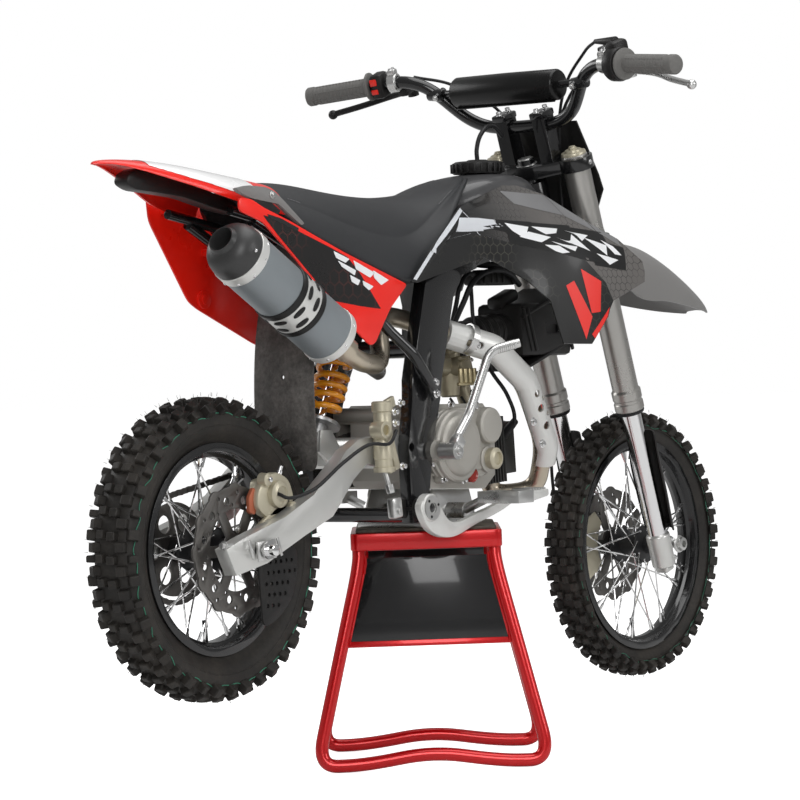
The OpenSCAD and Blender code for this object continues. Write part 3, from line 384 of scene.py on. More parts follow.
def fit(thing, body, slot, material, *nodes):
    """Names a finished piece's body, material and the frame nodes that it stands for; the slot is not used."""
    thing.data.materials.clear()
    thing.data.materials.append(material)
    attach(thing, body)
    if nodes:
        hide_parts(*nodes)
    return thing


def rod(a, b, width, sides=24, end_width=None):
    """A round bar from a to b; width in millimetres."""
    a, b = Vector(a), Vector(b)
    length = (b - a).length
    if end_width is None:
        bpy.ops.mesh.primitive_cylinder_add(vertices=sides, radius=width * MM / 2, depth=length)
    else:
        bpy.ops.mesh.primitive_cone_add(vertices=sides, radius1=width * MM / 2, radius2=end_width * MM / 2, depth=length)
    made = bpy.context.object
    made.matrix_world = Matrix.Translation((a + b) / 2) @ (b - a).to_track_quat("Z", "Y").to_matrix().to_4x4()
    return settle(made)


def ring(a, b, width, bore, sides=32):
    """A round collar from a to b with a hole through it."""
    made = rod(a, b, width, sides)
    hole = rod(Vector(a) - (Vector(b) - Vector(a)) * 0.5, Vector(b) + (Vector(b) - Vector(a)) * 0.5, bore, sides)
    cut(made, hole)
    return made


def cut(thing, cutter):
    """Takes cutter's volume out of thing."""
    shape(thing, "BOOLEAN", operation="DIFFERENCE", object=cutter, solver="EXACT")
    bpy.data.objects.remove(cutter)
    return thing


def block(low, high, bevel=1.0):
    """A box between two corners in metres, its edges rounded by bevel millimetres."""
    low, high = Vector(low), Vector(high)
    bpy.ops.mesh.primitive_cube_add(size=1, location=(low + high) / 2)
    made = bpy.context.object
    made.scale = high - low
    settle(made)
    if bevel:
        round_edges(made, bevel)
    return made


def skin(name, rows, thickness=0.0, levels=2, closed=False, offset=-1.0, crisp=False):
    """A smooth sheet through rows of places in metres; crisp keeps its outline sharp."""
    tall, wide = len(rows), len(rows[0])
    bpy.ops.mesh.primitive_grid_add(x_subdivisions=wide - 1, y_subdivisions=tall - 1)
    made = bpy.context.object
    for i, row in enumerate(rows):
        for k, place in enumerate(row):
            made.data.vertices[i * wide + k].co = place
    made.name = made.data.name = name
    if closed:
        outward(made)
    if crisp:
        shared = [key for face in made.data.polygons for key in face.edge_keys]
        rim = [edge for edge in made.data.edges if shared.count(edge.key) == 1]
        creases = made.data.attributes.new("crease_edge", "FLOAT", "EDGE")
        corners = made.data.attributes.new("crease_vert", "FLOAT", "POINT")
        for edge in rim:
            creases.data[edge.index].value = 1.0
            for corner in edge.vertices:
                corners.data[corner].value = 1.0
    if levels:
        shape(made, "SUBSURF", levels=levels, render_levels=levels)
    if thickness:
        shape(made, "SOLIDIFY", thickness=thickness * MM, offset=offset)
    return soften(made, 50)


def mirrored(thing, name):
    """The same piece on the other side of the bike."""
    made = copy_of(thing, Matrix.Scale(-1, 4, (0, 1, 0)))
    made.name = made.data.name = name
    pick(made)
    bpy.ops.object.mode_set(mode="EDIT")
    bpy.ops.mesh.select_all(action="SELECT")
    bpy.ops.mesh.flip_normals()
    bpy.ops.object.mode_set(mode="OBJECT")
    return made


def hose(name, places, width, sides_detail=3, steps=8):
    """A round cord along smooth places, as a mesh."""
    line = bpy.data.curves.new(name, "CURVE")
    line.dimensions = "3D"
    line.bevel_depth = width * MM / 2
    line.bevel_resolution = sides_detail
    line.resolution_u = steps
    line.use_fill_caps = True
    spline = line.splines.new("BEZIER")
    spline.bezier_points.add(len(places) - 1)
    for point, place in zip(spline.bezier_points, places):
        point.co = place
        point.handle_left_type = point.handle_right_type = "AUTO"
    made = bpy.data.objects.new(name, line)
    bpy.context.scene.collection.objects.link(made)
    pick(made)
    bpy.ops.object.convert(target="MESH")
    return soften(bpy.context.object, 60)


def dress(node, material, bevel=0.8, segments=2, flat=0.6, smooth_angle=34):
    """A finished copy of a frame node: merged, with rounded edges."""
    source = frame["nodes"][node]
    made = bpy.data.objects.new(node + "_finished", source.data.copy())
    bpy.context.scene.collection.objects.link(made)
    made.data.name = made.name
    made.data.transform(source.matrix_world)
    pick(made)
    bpy.ops.object.mode_set(mode="EDIT")
    bpy.ops.mesh.select_all(action="SELECT")
    bpy.ops.mesh.remove_doubles(threshold=0.00001)
    if flat:
        bpy.ops.mesh.dissolve_limited(angle_limit=math.radians(flat))
    bpy.ops.object.mode_set(mode="OBJECT")
    if bevel:
        shape(made, "BEVEL", width=bevel * MM, segments=segments, limit_method="ANGLE", angle_limit=math.radians(32),
              use_clamp_overlap=True)
    soften(made, smooth_angle)
    body = next(name for name, nodes in frame["record"]["behaviour"]["bodies"].items() if node in nodes)
    slot = next(row["material_slot"] for row in frame["record"]["subparts"] if row["node"] == node)
    return fit(made, body, slot, material, node)


# ------------------------------------------------------------------ materials
def painted_graphic(colours, hex_scale, line, rear=None):
    """Moulded colour with a faint honeycomb printed on it; it may darken to a rear colour, partly the black moulding
    there and partly painted shade for a glossy falloff.
    """
    def build(tree):
        combs = effect(tree, "honeycomb", Scale=hex_scale, Line=line)
        shown = math_node(tree, "MULTIPLY", combs.outputs["Mask"], combs.outputs["Fade"])
        print_colour = mix(tree, shown, (*colours[0], 1), (*colours[1], 1))
        if rear is None:
            return print_colour
        # Darker towards the rear: partly black moulding, partly painted shade standing for the glossy falloff.
        place = wire(tree, "SeparateXYZ", Vector=wire(tree, "TexCoord").outputs["Object"])
        ahead = wire(tree, "MapRange", Value=place.outputs[0], From_Min=REAR_OF_DARKENING, From_Max=FRONT_OF_DARKENING)
        return mix(tree, ahead.outputs[0], (*rear, 1), print_colour)
    return build


# Object x where the darkening (partly painted shade) begins and ends.
REAR_OF_DARKENING, FRONT_OF_DARKENING = 0.0, 0.2


STAND_RED = finish("candy_red_paint", (0.56, 0.002, 0.004), 0.24, metallic=0.4, bump=0.04, grain=90, variation=0.06, coat=0.35, spread=0.05)
GLOSS_BLACK = finish("gloss_black_enamel", (0.007, 0.007, 0.0075), 0.22, bump=0.05, grain=160, variation=0.2, coat=0.6, spread=0.1)
RUBBER_PAD = finish("scuffed_pad_rubber", (0.022, 0.021, 0.02), 0.78, bump=0.5, grain=420, variation=0.35, dust=0.7, scale=16)
FRAME_BLACK = finish("gloss_frame_black", (0.008, 0.008, 0.0085), 0.2, bump=0.03, grain=160, variation=0.15, coat=0.7, spread=0.06)
ARM_ALLOY = finish("brushed_arm_alloy", (0.62, 0.62, 0.60), 0.36, metallic=0.7, bump=0.16, grain=620, surface="brushing", variation=0.1)
STEEL = finish("plated_steel", (0.56, 0.56, 0.55), 0.3, metallic=0.95, bump=0.08, grain=420, variation=0.14)
DARK_STEEL = finish("oiled_dark_steel", (0.13, 0.125, 0.12), 0.42, metallic=0.85, bump=0.2, grain=520, variation=0.25, dust=0.1)
CHAMPAGNE = finish("champagne_anodised", (0.50, 0.46, 0.35), 0.38, metallic=0.5, bump=0.14, grain=520, variation=0.1)
SHOCK_ALLOY = finish("shock_alloy", (0.42, 0.42, 0.42), 0.36, metallic=0.85, bump=0.08, grain=500, surface="brushing")
SPRING_ORANGE = finish("spring_orange", (0.86, 0.33, 0.015), 0.26, bump=0.06, grain=260, variation=0.06, coat=0.5)
ENGINE_GREY = finish("cast_engine_grey", (0.42, 0.405, 0.37), 0.46, metallic=0.5, bump=0.5, grain=640, coarse=0.8, variation=0.14, dust=0.05)
CARB_METAL = finish("cast_carburettor", (0.42, 0.38, 0.28), 0.42, metallic=0.7, bump=0.3, grain=560, variation=0.2)
BLACK_PLASTIC = finish("black_moulded_plastic", (0.009, 0.009, 0.0095), 0.4, bump=0.28, grain=760, variation=0.18, dust=0.03)
PIPE_STEEL = finish("heat_tinted_steel", (0.5, 0.44, 0.35), 0.3, metallic=0.9, bump=0.12, grain=520, surface="brushing", variation=0.3, scale=11)
SHIELD_ALLOY = finish("satin_shield_alloy", (0.66, 0.66, 0.64), 0.38, metallic=0.45, bump=0.1, grain=500, variation=0.1)
SILENCER_GREY = finish("matt_silencer_metal", (0.235, 0.26, 0.275), 0.5, metallic=0.45, bump=0.1, grain=560, variation=0.12)
CHROME = finish("polished_chrome", (0.78, 0.78, 0.78), 0.1, metallic=1.0, bump=0.02, grain=80, variation=0.03, spread=0.04)
FORK_TITANIUM = finish("fork_titanium", (0.4, 0.39, 0.37), 0.3, metallic=0.8, bump=0.08, grain=500, surface="brushing", variation=0.1)
LEVER_ALLOY = finish("lever_alloy", (0.62, 0.62, 0.61), 0.28, metallic=0.9, bump=0.06, grain=480, surface="brushing")
SEAT_COVER = finish("seat_cover", (0.026, 0.027, 0.029), 0.5, bump=0.5, grain=640, surface="pebbled_cover", variation=0.12)
SEAT_THREAD = finish("seat_thread", (0.17, 0.17, 0.175), 0.7, bump=0.3, grain=1200)
RED_PLASTIC = finish("red_moulded_plastic", (0.86, 0.012, 0.004), 0.3, bump=0.05, grain=420, variation=0.05, coat=0.12)
WHITE_PLASTIC = finish("white_moulded_plastic", (0.86, 0.86, 0.86), 0.26, bump=0.04, grain=420, variation=0.03, coat=0.4)
# The grey shroud darkens to near black towards the rear: partly black moulding, partly painted shade.
GREY_SHROUD = finish("grey_printed_plastic", (0.13, 0.122, 0.115), 0.22, bump=0.02, grain=420, variation=0.1, coat=0.6,
                     painted=painted_graphic(((0.12, 0.112, 0.106), (0.055, 0.052, 0.05)), 74.0, 0.05, (0.012, 0.012, 0.012)))
DARK_SHROUD = finish("dark_printed_plastic", (0.02, 0.02, 0.02), 0.3, bump=0.04, grain=420, variation=0.1, coat=0.2,
                     painted=painted_graphic(((0.014, 0.014, 0.014), (0.05, 0.048, 0.04)), 60.0, 0.05))
PANEL_BLACK = finish("panel_printed_black", (0.02, 0.02, 0.02), 0.3, bump=0.03, grain=420, variation=0.1, coat=0.15,
                     painted=painted_graphic(((0.013, 0.012, 0.012), (0.05, 0.02, 0.018)), 44.0, 0.06))
FENDER_GREY = finish("grey_fender_plastic", (0.2, 0.195, 0.19), 0.36, bump=0.06, grain=520, variation=0.05, coat=0.2)
GRIP_RUBBER = finish("grip_rubber", (0.15, 0.147, 0.14), 0.66, bump=0.4, grain=900, variation=0.1)
MUD_RUBBER = finish("dusty_mud_rubber", (0.028, 0.026, 0.025), 0.62, bump=0.3, grain=300, variation=0.6, scale=15, dust=0.9,
                    dust_colour=(0.16, 0.15, 0.14))
TYRE_RUBBER = finish("tyre_rubber", (0.012, 0.0115, 0.011), 0.55, bump=0.35, grain=520, variation=0.3, scale=14, dust=0.22,
                     dust_colour=(0.12, 0.1, 0.08))
CABLE_BLACK = finish("cable_black", (0.014, 0.014, 0.015), 0.45, bump=0.15, grain=900)
CYLINDER_BLACK = finish("cylinder_black", (0.03, 0.03, 0.029), 0.45, metallic=0.3, bump=0.3, grain=520)
HUB_BLACK = finish("hub_black", (0.02, 0.02, 0.021), 0.38, metallic=0.3, bump=0.1, grain=420)

aim_camera()
light_studio()
lay_floor()

PLAIN_NODES = {
    "stand_frame": (STAND_RED, 0.6), "stand_panels": (GLOSS_BLACK, 0.5), "stand_pad": (RUBBER_PAD, 1.0),
    "main_frame": (FRAME_BLACK, 2.2), "subframe": (FRAME_BLACK, 0.4), "swingarm": (ARM_ALLOY, 2.2),
    "rear_axle": (STEEL, 0.6), "chain": (DARK_STEEL, 0.4), "rear_caliper": (CHAMPAGNE, 2.0),
    "disc_guard": (BLACK_PLASTIC, 0.4), "shock_body": (SHOCK_ALLOY, 0.8), "shock_spring": (SPRING_ORANGE, 0.0),
    "engine_block": (ENGINE_GREY, 2.2), "clutch_cover": (ENGINE_GREY, 2.0), "cylinder": (CYLINDER_BLACK, 0.6),
    "carburettor": (CARB_METAL, 0.8), "airbox": (BLACK_PLASTIC, 3.0), "exhaust_pipe": (PIPE_STEEL, 0.0),
    "heat_shield": (SHIELD_ALLOY, 0.4), "silencer": (SILENCER_GREY, 0.8), "silencer_cap": (BLACK_PLASTIC, 1.0),
    "kick_lever": (CHROME, 1.0), "gear_lever": (STEEL, 0.8), "brake_pedal": (SHIELD_ALLOY, 1.6),
    "rear_master_cylinder": (CHAMPAGNE, 1.0), "footpegs": (STEEL, 0.6), "fuel_tank": (BLACK_PLASTIC, 4.0),
    "tank_cap": (BLACK_PLASTIC, 1.4), "seat": (SEAT_COVER, 4.0), "rear_fender": (RED_PLASTIC, 1.0),
    "side_panels": (RED_PLASTIC, 1.0), "tank_shrouds": (GREY_SHROUD, 0.8), "mud_flap": (MUD_RUBBER, 1.2),
    "frame_cables": (CABLE_BLACK, 0.0), "lower_clamp": (GLOSS_BLACK, 1.6), "top_clamp": (GLOSS_BLACK, 1.6),
    "fork_outers": (FORK_TITANIUM, 0.8), "fork_inners": (CHROME, 1.0), "fork_guards": (BLACK_PLASTIC, 0.6),
    "handlebar": (GLOSS_BLACK, 0.0), "bar_pad": (RUBBER_PAD, 3.0), "grips": (GRIP_RUBBER, 1.0),
    "bar_controls": (BLACK_PLASTIC, 1.2), "hand_levers": (LEVER_ALLOY, 0.0), "number_plate": (BLACK_PLASTIC, 1.0),
    "front_fender": (FENDER_GREY, 1.0), "front_caliper": (CHAMPAGNE, 2.0), "front_axle": (STEEL, 0.8),
    "steering_cables": (CABLE_BLACK, 0.0), "front_tyre": (TYRE_RUBBER, 0.0), "front_rim": (GLOSS_BLACK, 0.4),
    "front_spokes": (CHROME, 0.0), "front_disc": (DARK_STEEL, 0.3), "rear_tyre": (TYRE_RUBBER, 0.0),
    "rear_rim": (GLOSS_BLACK, 0.4), "rear_spokes": (CHROME, 0.0), "rear_disc": (DARK_STEEL, 0.3),
    "rear_sprocket": (DARK_STEEL, 0.3)}
TANK_GREY = finish("tank_grey_plastic", (0.062, 0.062, 0.064), 0.34, bump=0.06, grain=520, variation=0.1, coat=0.3)
PRINTS = {"print_black": finish("print_black", (0.01, 0.01, 0.01), 0.34, bump=0.02, coat=0.1, variation=0.05),
          "print_white": finish("print_white", (0.82, 0.83, 0.84), 0.34, bump=0.02, coat=0.1, variation=0.03),
          "print_pale": finish("print_pale", (0.6, 0.62, 0.65), 0.34, bump=0.02, coat=0.1, variation=0.1),
          # A lighter grey strip: a painted highlight along the upper shroud's top edge.
          "painted_highlight_strip": finish("painted_highlight_strip", (0.2, 0.2, 0.203), 0.24, bump=0.02, coat=0.5, variation=0.3, scale=4),
          "print_red": finish("print_red", (0.75, 0.018, 0.01), 0.34, bump=0.02, coat=0.1, variation=0.03)}


# ------------------------------------------------------------------ wheels
def spun(name, section, hub, steps=96):
    """A ring about a wheel's axle from [radius, across] points in millimetres."""
    bpy.ops.mesh.primitive_circle_add(vertices=len(section), radius=0.01, location=(0, 0, 0))
    made = bpy.context.object
    for vertex, (radius, across) in zip(made.data.vertices, section):
        vertex.co = hub + Vector((0, across, radius)) * MM
    bpy.ops.object.mode_set(mode="EDIT")
    bpy.ops.mesh.select_all(action="SELECT")
    bpy.ops.mesh.spin(steps=steps, angle=math.tau, center=hub, axis=(0, 1, 0))
    bpy.ops.object.mode_set(mode="OBJECT")
    made.name = made.data.name = name
    outward(made)
    return soften(made, 40)


def knob(size, height):
    """One tyre block, standing on the origin with its top along +Z and chamfered edges."""
    bpy.ops.mesh.primitive_cube_add(size=1, location=(0, 0, 0))
    made = bpy.context.object
    made.scale = (size[0] * MM, size[1] * MM, height * MM)
    settle(made)
    for vertex in made.data.vertices:
        if vertex.co.z > 0:
            vertex.co.x *= 0.84
            vertex.co.y *= 0.86
        vertex.co.z += height * MM * 0.28
    shape(made, "BEVEL", width=1.3 * MM, segments=1, limit_method="ANGLE", angle_limit=0.6)
    return made


def round_wheel(hub, radius, across, angle, tilt):
    """Stands a block out from the tyre at this radius, place across and angle, leaning by tilt."""
    return (Matrix.Translation(hub) @ Matrix.Rotation(angle, 4, "Y") @ Matrix.Translation(Vector((0, across, radius)) * MM)
            @ Matrix.Rotation(math.radians(-tilt), 4, "X"))


def knobby_tyre(side, hub, radius, width, rim_r, rim_w, pitches):
    half = width / 2
    base = radius - 12
    section = [(rim_r - 8, rim_w / 2 - 7), (rim_r + 3, rim_w / 2 - 3), (rim_r + 10, rim_w / 2 + 4), (rim_r + 24, half - 6),
               (radius - 34, half - 3), (radius - 22, half - 9), (base - 2, half * 0.55), (base, half * 0.25)]
    section = section + [(r, -y) for r, y in reversed(section)]
    carcass = spun(side + "_tyre_carcass", section, hub, 120)
    step = math.tau / pitches
    centre = knob((15, half * 0.38), 13)
    middle = knob((17, half * 0.40), 13)
    shoulder = knob((18, half * 0.42), 15)
    short_shoulder = knob((12, half * 0.34), 15)
    blocks = []
    for i in range(pitches):
        angle = i * step
        for way in (-1, 1):
            blocks.append(copy_of(centre, round_wheel(hub, base - 1, way * half * 0.23, angle + way * step * 0.04, way * 5)))
            blocks.append(copy_of(middle, round_wheel(hub, base - 3, way * half * 0.56, angle + step * 0.5, way * 24)))
            block_kind = shoulder if i % 2 else short_shoulder
            blocks.append(copy_of(block_kind, round_wheel(hub, base - 12, way * half * 0.86, angle + step * (0.05 if i % 2 else 0.0), way * 52)))
    for spare in (centre, middle, shoulder, short_shoulder):
        bpy.data.objects.remove(spare)
    tread = join(blocks, side + "_tyre_knobs")
    fit(carcass, side + "_wheel", "tyre_rubber", TYRE_RUBBER, side + "_tyre")
    fit(tread, side + "_wheel", "tyre_rubber", TYRE_RUBBER, side + "_tyre")
    # The thin raised lines moulded round each sidewall.
    lines = [spun("bead_line", [(r, s * (half - y)), (r + 1.6, s * (half - y + 0.9)), (r + 3.2, s * (half - y))], hub)
             for s in (-1, 1) for r, y in ((rim_r + 26, 5.2),)]
    fit(join(lines, side + "_tyre_sidewall_lines"), side + "_wheel", "tyre_rubber", TYRE_RUBBER)


def wheel_hub(side, hub, half_length, flange):
    section = [(9, -half_length), (16, -half_length), (18, -half_length + 3), (18, -flange - 6), (34, -flange - 2.4),
               (35, -flange), (34, -flange + 2.4), (19, -flange + 7), (17.5, 0)]
    section = section + [(r, -y) for r, y in reversed(section[:-1])]
    fit(spun(side + "_hub_shell", section, hub, 64), side + "_wheel", "steel", HUB_BLACK, side + "_spokes")


def wheel_spokes(side, hub, rim_r, flange, count=36):
    """Crossed spokes with an elbow at the flange and a nipple at the rim."""
    parts = []
    end_r = rim_r - 22.5
    for way_side in (-1, 1):
        for i in range(count // 2):
            way = 1 if i % 2 == 0 else -1
            start = math.tau / (count / 2) * (i + (0.5 if way_side > 0 else 0))
            end = start + way * math.radians(52)
            inner_y = -way_side * (flange + way * 3.4)
            outer_y = -(way_side * way * 2 + way_side * 4)
            a = hub + Vector((30.5 * math.cos(start), inner_y, 30.5 * math.sin(start))) * MM
            b = hub + Vector((end_r * math.cos(end), outer_y, end_r * math.sin(end))) * MM
            root = hub + Vector((30.5 * math.cos(start), -way_side * flange, 30.5 * math.sin(start))) * MM
            parts.append(rod(a, b, 3.0, 8))
            parts.append(rod(root, a + (a - root) * 0.35, 4.2, 8))
            along = (b - a).normalized()
            parts.append(rod(b - along * 0.016, b + along * 0.002, 5.6, 6))
    fit(join(parts, side + "_wheel_spokes"), side + "_wheel", "steel", CHROME, side + "_spokes")


WHEELS = {"rear": (REAR_HUB, 240, 90, 166, 54, 74, 30), "front": (FRONT_HUB, 242, 68, 191, 40, 52, 26)}
for side, (hub, radius, width, rim_r, rim_w, hub_half, flange) in WHEELS.items():
    knobby_tyre(side, hub, radius, width, rim_r, rim_w, 40 if side == "rear" else 46)
    wheel_hub(side, hub, hub_half, flange)
    wheel_spokes(side, hub, rim_r, flange)
for done in ("rear_tyre", "front_tyre", "rear_spokes", "front_spokes"):
    del PLAIN_NODES[done]


# ------------------------------------------------------------------ seat
def bike_rows(rows, side=1):
    return [[at(x, side * y, z) for x, y, z in row] for row in rows]


# Each station from tail to nose: x, ridge height, stitch half width and height, edge half width and height.
SEAT_STATIONS = [
    (94, 560, 52, 546, 66, 530), (104, 566, 58, 549, 74, 526), (160, 571, 70, 538, 98, 486), (225, 567, 76, 519, 107, 462),
    (290, 559, 78, 500, 110, 440), (350, 553, 78, 488, 111, 420), (402, 550, 77, 482, 111, 408), (440, 549, 75, 485, 109, 418),
    (480, 551, 73, 498, 106, 452), (520, 554, 70, 522, 99, 490), (556, 560, 66, 543, 90, 528), (600, 570, 55, 562, 70, 554),
    (645, 581, 38, 578, 47, 574), (680, 587, 22, 586, 27, 584)]


def seat_row(x, ridge, stitch_y, stitch_z, edge_y, edge_z):
    """A section of the seat, from the right lower edge over the ridge to the left one."""
    rise = ridge - stitch_z
    half = [(edge_y - 9, edge_z - 3), (edge_y, edge_z), (edge_y + 0.5, edge_z + 5),
            ((edge_y * 0.55 + stitch_y * 0.45) + 3, edge_z * 0.45 + stitch_z * 0.55), (stitch_y + 3, stitch_z - 5),
            (stitch_y - 0.5, stitch_z - 1.5), (stitch_y - 4, stitch_z + rise * 0.10 + 1.5), (stitch_y * 0.62, ridge - rise * 0.34),
            (stitch_y * 0.28, ridge - rise * 0.06)]
    return [(x, -y, z) for y, z in half] + [(x, 0, ridge)] + [(x, y, z) for y, z in reversed(half)]


def make_seat():
    rows = [seat_row(*station) for station in SEAT_STATIONS]
    nose = [(684, y * 0.7, z - 3) for x, y, z in rows[-1]]
    seat = skin("seat_cushion", bike_rows(rows + [nose]), thickness=3.0, levels=2)
    fit(seat, "chassis", "seat_cover", SEAT_COVER, "seat")
    stitches = []
    bpy.ops.mesh.primitive_cylinder_add(vertices=6, radius=0.0007, depth=0.0036)
    stitch = bpy.context.object
    for side in (-1, 1):
        for lift in (-5.0, 1.5):
            line = [at(x, side * (y + (2.2 if lift < 0 else -1.5)), z + lift) for x, _, y, z, _, _ in SEAT_STATIONS[1:-2]]
            for a, b in zip(line, line[1:]):
                count = max(1, int((b - a).length / 0.0054))
                for k in range(count):
                    place = a.lerp(b, k / count)
                    found, spot, normal, _ = seat.closest_point_on_mesh(place)
                    turn = (b - a).to_track_quat("Z", "Y").to_matrix().to_4x4()
                    stitches.append(copy_of(stitch, Matrix.Translation(spot + normal * 0.0003) @ turn))
    bpy.data.objects.remove(stitch)
    fit(join(stitches, "seat_stitching"), "chassis", "seat_cover", SEAT_THREAD)


make_seat()


# ------------------------------------------------------------------ shrouds and tank
SHROUD_TOP = [
    [(386, 124, 409), (454, 118, 464), (556, 101, 532), (640, 82, 552), (735, 72, 577), (820, 84, 558), (892, 122, 510), (938, 156, 478), (962, 190, 438)],
    [(388, 125, 408), (459, 119, 461), (558, 106, 530), (672, 93, 538), (768, 97, 532), (840, 116, 514), (898, 146, 488), (938, 171, 460), (962, 195, 420)],
    [(392, 126, 408), (474, 120, 464), (545, 114, 516), (662, 110, 511), (764, 121, 497), (828, 137, 483), (884, 162, 462), (922, 180, 438), (956, 198, 402)],
    [(397, 126, 407), (456, 121, 448), (520, 116, 492), (612, 118, 482), (685, 132, 467), (758, 151, 456), (815, 173, 440), (852, 187, 402), (868, 191, 370)]]
SHROUD_LOW = [
    SHROUD_TOP[-1],
    [(400, 125, 407), (500, 121, 443), (556, 118, 471), (622, 120, 459), (688, 134, 438), (742, 155, 416), (782, 172, 372), (828, 188, 352), (856, 191, 355)],
    [(404, 124, 407), (530, 121, 434), (596, 118, 448), (634, 121, 436), (692, 138, 407), (728, 158, 374), (742, 173, 300), (804, 188, 298), (850, 192, 344)]]


def decal(name, corners, target, material, side, columns=8, lift=0.6):
    """A printed patch: corners go round it as (x, z); it follows the target's outer face."""
    bpy.ops.mesh.primitive_grid_add(x_subdivisions=columns, y_subdivisions=4)
    made = bpy.context.object
    a, b, c, d = [at(x, 0, z) for x, z in corners]
    for i, vertex in enumerate(made.data.vertices):
        u, v = (i % (columns + 1)) / columns, (i // (columns + 1)) / 4
        place = a.lerp(b, u).lerp(d.lerp(c, u), v)
        hit, spot, normal, _ = target.ray_cast(Vector((place.x, side * 0.4, place.z)), Vector((0, -side, 0)))
        if not hit:
            _, spot, normal, _ = target.closest_point_on_mesh(Vector((place.x, side * 0.18, place.z)))
        if normal.y * side < 0:
            normal = -normal
        vertex.co = spot + normal * lift * MM
    made.name = made.data.name = name
    return soften(outward_from(made, side), 60)


def outward_from(thing, side):
    """Turns an open patch so that it faces away from the bike."""
    pick(thing)
    if sum(face.normal.y * side * face.area for face in thing.data.polygons) < 0:
        bpy.ops.object.mode_set(mode="EDIT")
        bpy.ops.mesh.select_all(action="SELECT")
        bpy.ops.mesh.flip_normals()
        bpy.ops.object.mode_set(mode="OBJECT")
    return thing


PRINTS_WHITE = [
    [(664, 506), (726, 499), (702, 479), (678, 492)], [(690, 482), (738, 472), (770, 481), (720, 491)],
    [(734, 500), (762, 486), (790, 488), (800, 496)], [(782, 481), (846, 456), (826, 486), (808, 470)],
    [(806, 494), (866, 484), (842, 474), (836, 489)], [(764, 474), (806, 456), (820, 464), (790, 468)],
    [(852, 480), (884, 448), (896, 466), (872, 474)], [(858, 452), (880, 432), (908, 440), (886, 446)],
    [(742, 468), (764, 452), (790, 454), (776, 466)], [(890, 476), (906, 450), (922, 448), (912, 464)]]
PRINTS_BLACK = [
    [(632, 512), (742, 508), (704, 472), (664, 486)], [(664, 490), (800, 482), (770, 446), (656, 468)],
    [(716, 508), (836, 502), (818, 452), (700, 480)], [(752, 482), (884, 474), (858, 436), (738, 448)],
    [(806, 502), (906, 490), (898, 438), (796, 466)], [(852, 484), (938, 462), (918, 422), (838, 432)],
    [(600, 500), (690, 508), (700, 486), (650, 492)]]
PRINTS_RED = [
    [(766, 398), (784, 406), (812, 344), (792, 306)], [(802, 426), (842, 404), (832, 352), (812, 350)],
    [(856, 360), (848, 344), (812, 306), (806, 314)]]
PRINTS_PALE = [[(545, 514), (590, 514), (600, 492), (522, 490)], [(590, 514), (640, 511), (660, 500), (598, 494)],
               [(392, 413), (457, 466), (463, 462), (398, 411)], [(457, 466), (556, 531), (562, 526), (463, 462)],
               [(563, 524), (603, 453), (601, 453), (561, 524)], [(602, 454), (414, 412), (414, 410.5), (603, 452.5)]]
# Lighter strips along the upper shroud's top edge: a painted highlight where the light falls on the top face.
TOP_EDGE_HIGHLIGHT_STRIPS = [[(700, 562), (820, 556), (838, 520), (722, 540)], [(822, 556), (890, 510), (894, 491), (840, 519)],
                [(892, 508), (936, 478), (934, 464), (897, 490)]]

for side, word in ((-1, "right"), (1, "left")):
    upper = outward_from(skin("upper_shroud_" + word, bike_rows(SHROUD_TOP, side), levels=2, crisp=True), side)
    lower = outward_from(skin("lower_shroud_" + word, bike_rows(SHROUD_LOW, side), levels=2, crisp=True), side)
    for group, material, lift in ((PRINTS_BLACK, "print_black", 0.5), (PRINTS_WHITE, "print_white", 0.9), (PRINTS_PALE, "print_pale", 0.5),
                                    (TOP_EDGE_HIGHLIGHT_STRIPS, "painted_highlight_strip", 0.4)):
        patches = [decal("patch", corners, upper, None, side, lift=lift) for corners in group]
        fit(join(patches, "{}_{}".format(material, word)), "chassis", "grey_plastic", PRINTS[material])
    reds = [decal("patch", corners, lower, None, side, lift=0.6) for corners in PRINTS_RED]
    fit(join(reds, "print_red_" + word), "chassis", "grey_plastic", PRINTS["print_red"])
    for shell, material in ((upper, GREY_SHROUD), (lower, DARK_SHROUD)):
        shape(shell, "SOLIDIFY", thickness=3 * MM, offset=-1.0)
        soften(shell, 50)
        fit(shell, "chassis", "grey_plastic", material, "tank_shrouds")


def make_tank():
    """The tank's upper body shows between the shrouds and behind the steering head."""
    rows = []
    for x, top, half, low in ((600, 560, 40, 520), (640, 574, 62, 520), (680, 586, 72, 525), (720, 593, 75, 530),
                              (780, 594, 75, 534), (820, 588, 66, 540), (846, 576, 52, 546), (858, 562, 44, 550)):
        arc = [(half, low), (half + 1, low + (top - low) * 0.4), (half - 3, top - 16), (half * 0.78, top - 4), (half * 0.4, top - 1)]
        rows.append([(x, -y, z) for y, z in arc] + [(x, 0, top)] + [(x, y, z) for y, z in reversed(arc)])
    tank = skin("fuel_tank_body", bike_rows(rows), thickness=3.0, levels=2)
    fit(tank, "chassis", "black_plastic", TANK_GREY, "fuel_tank")


make_tank()


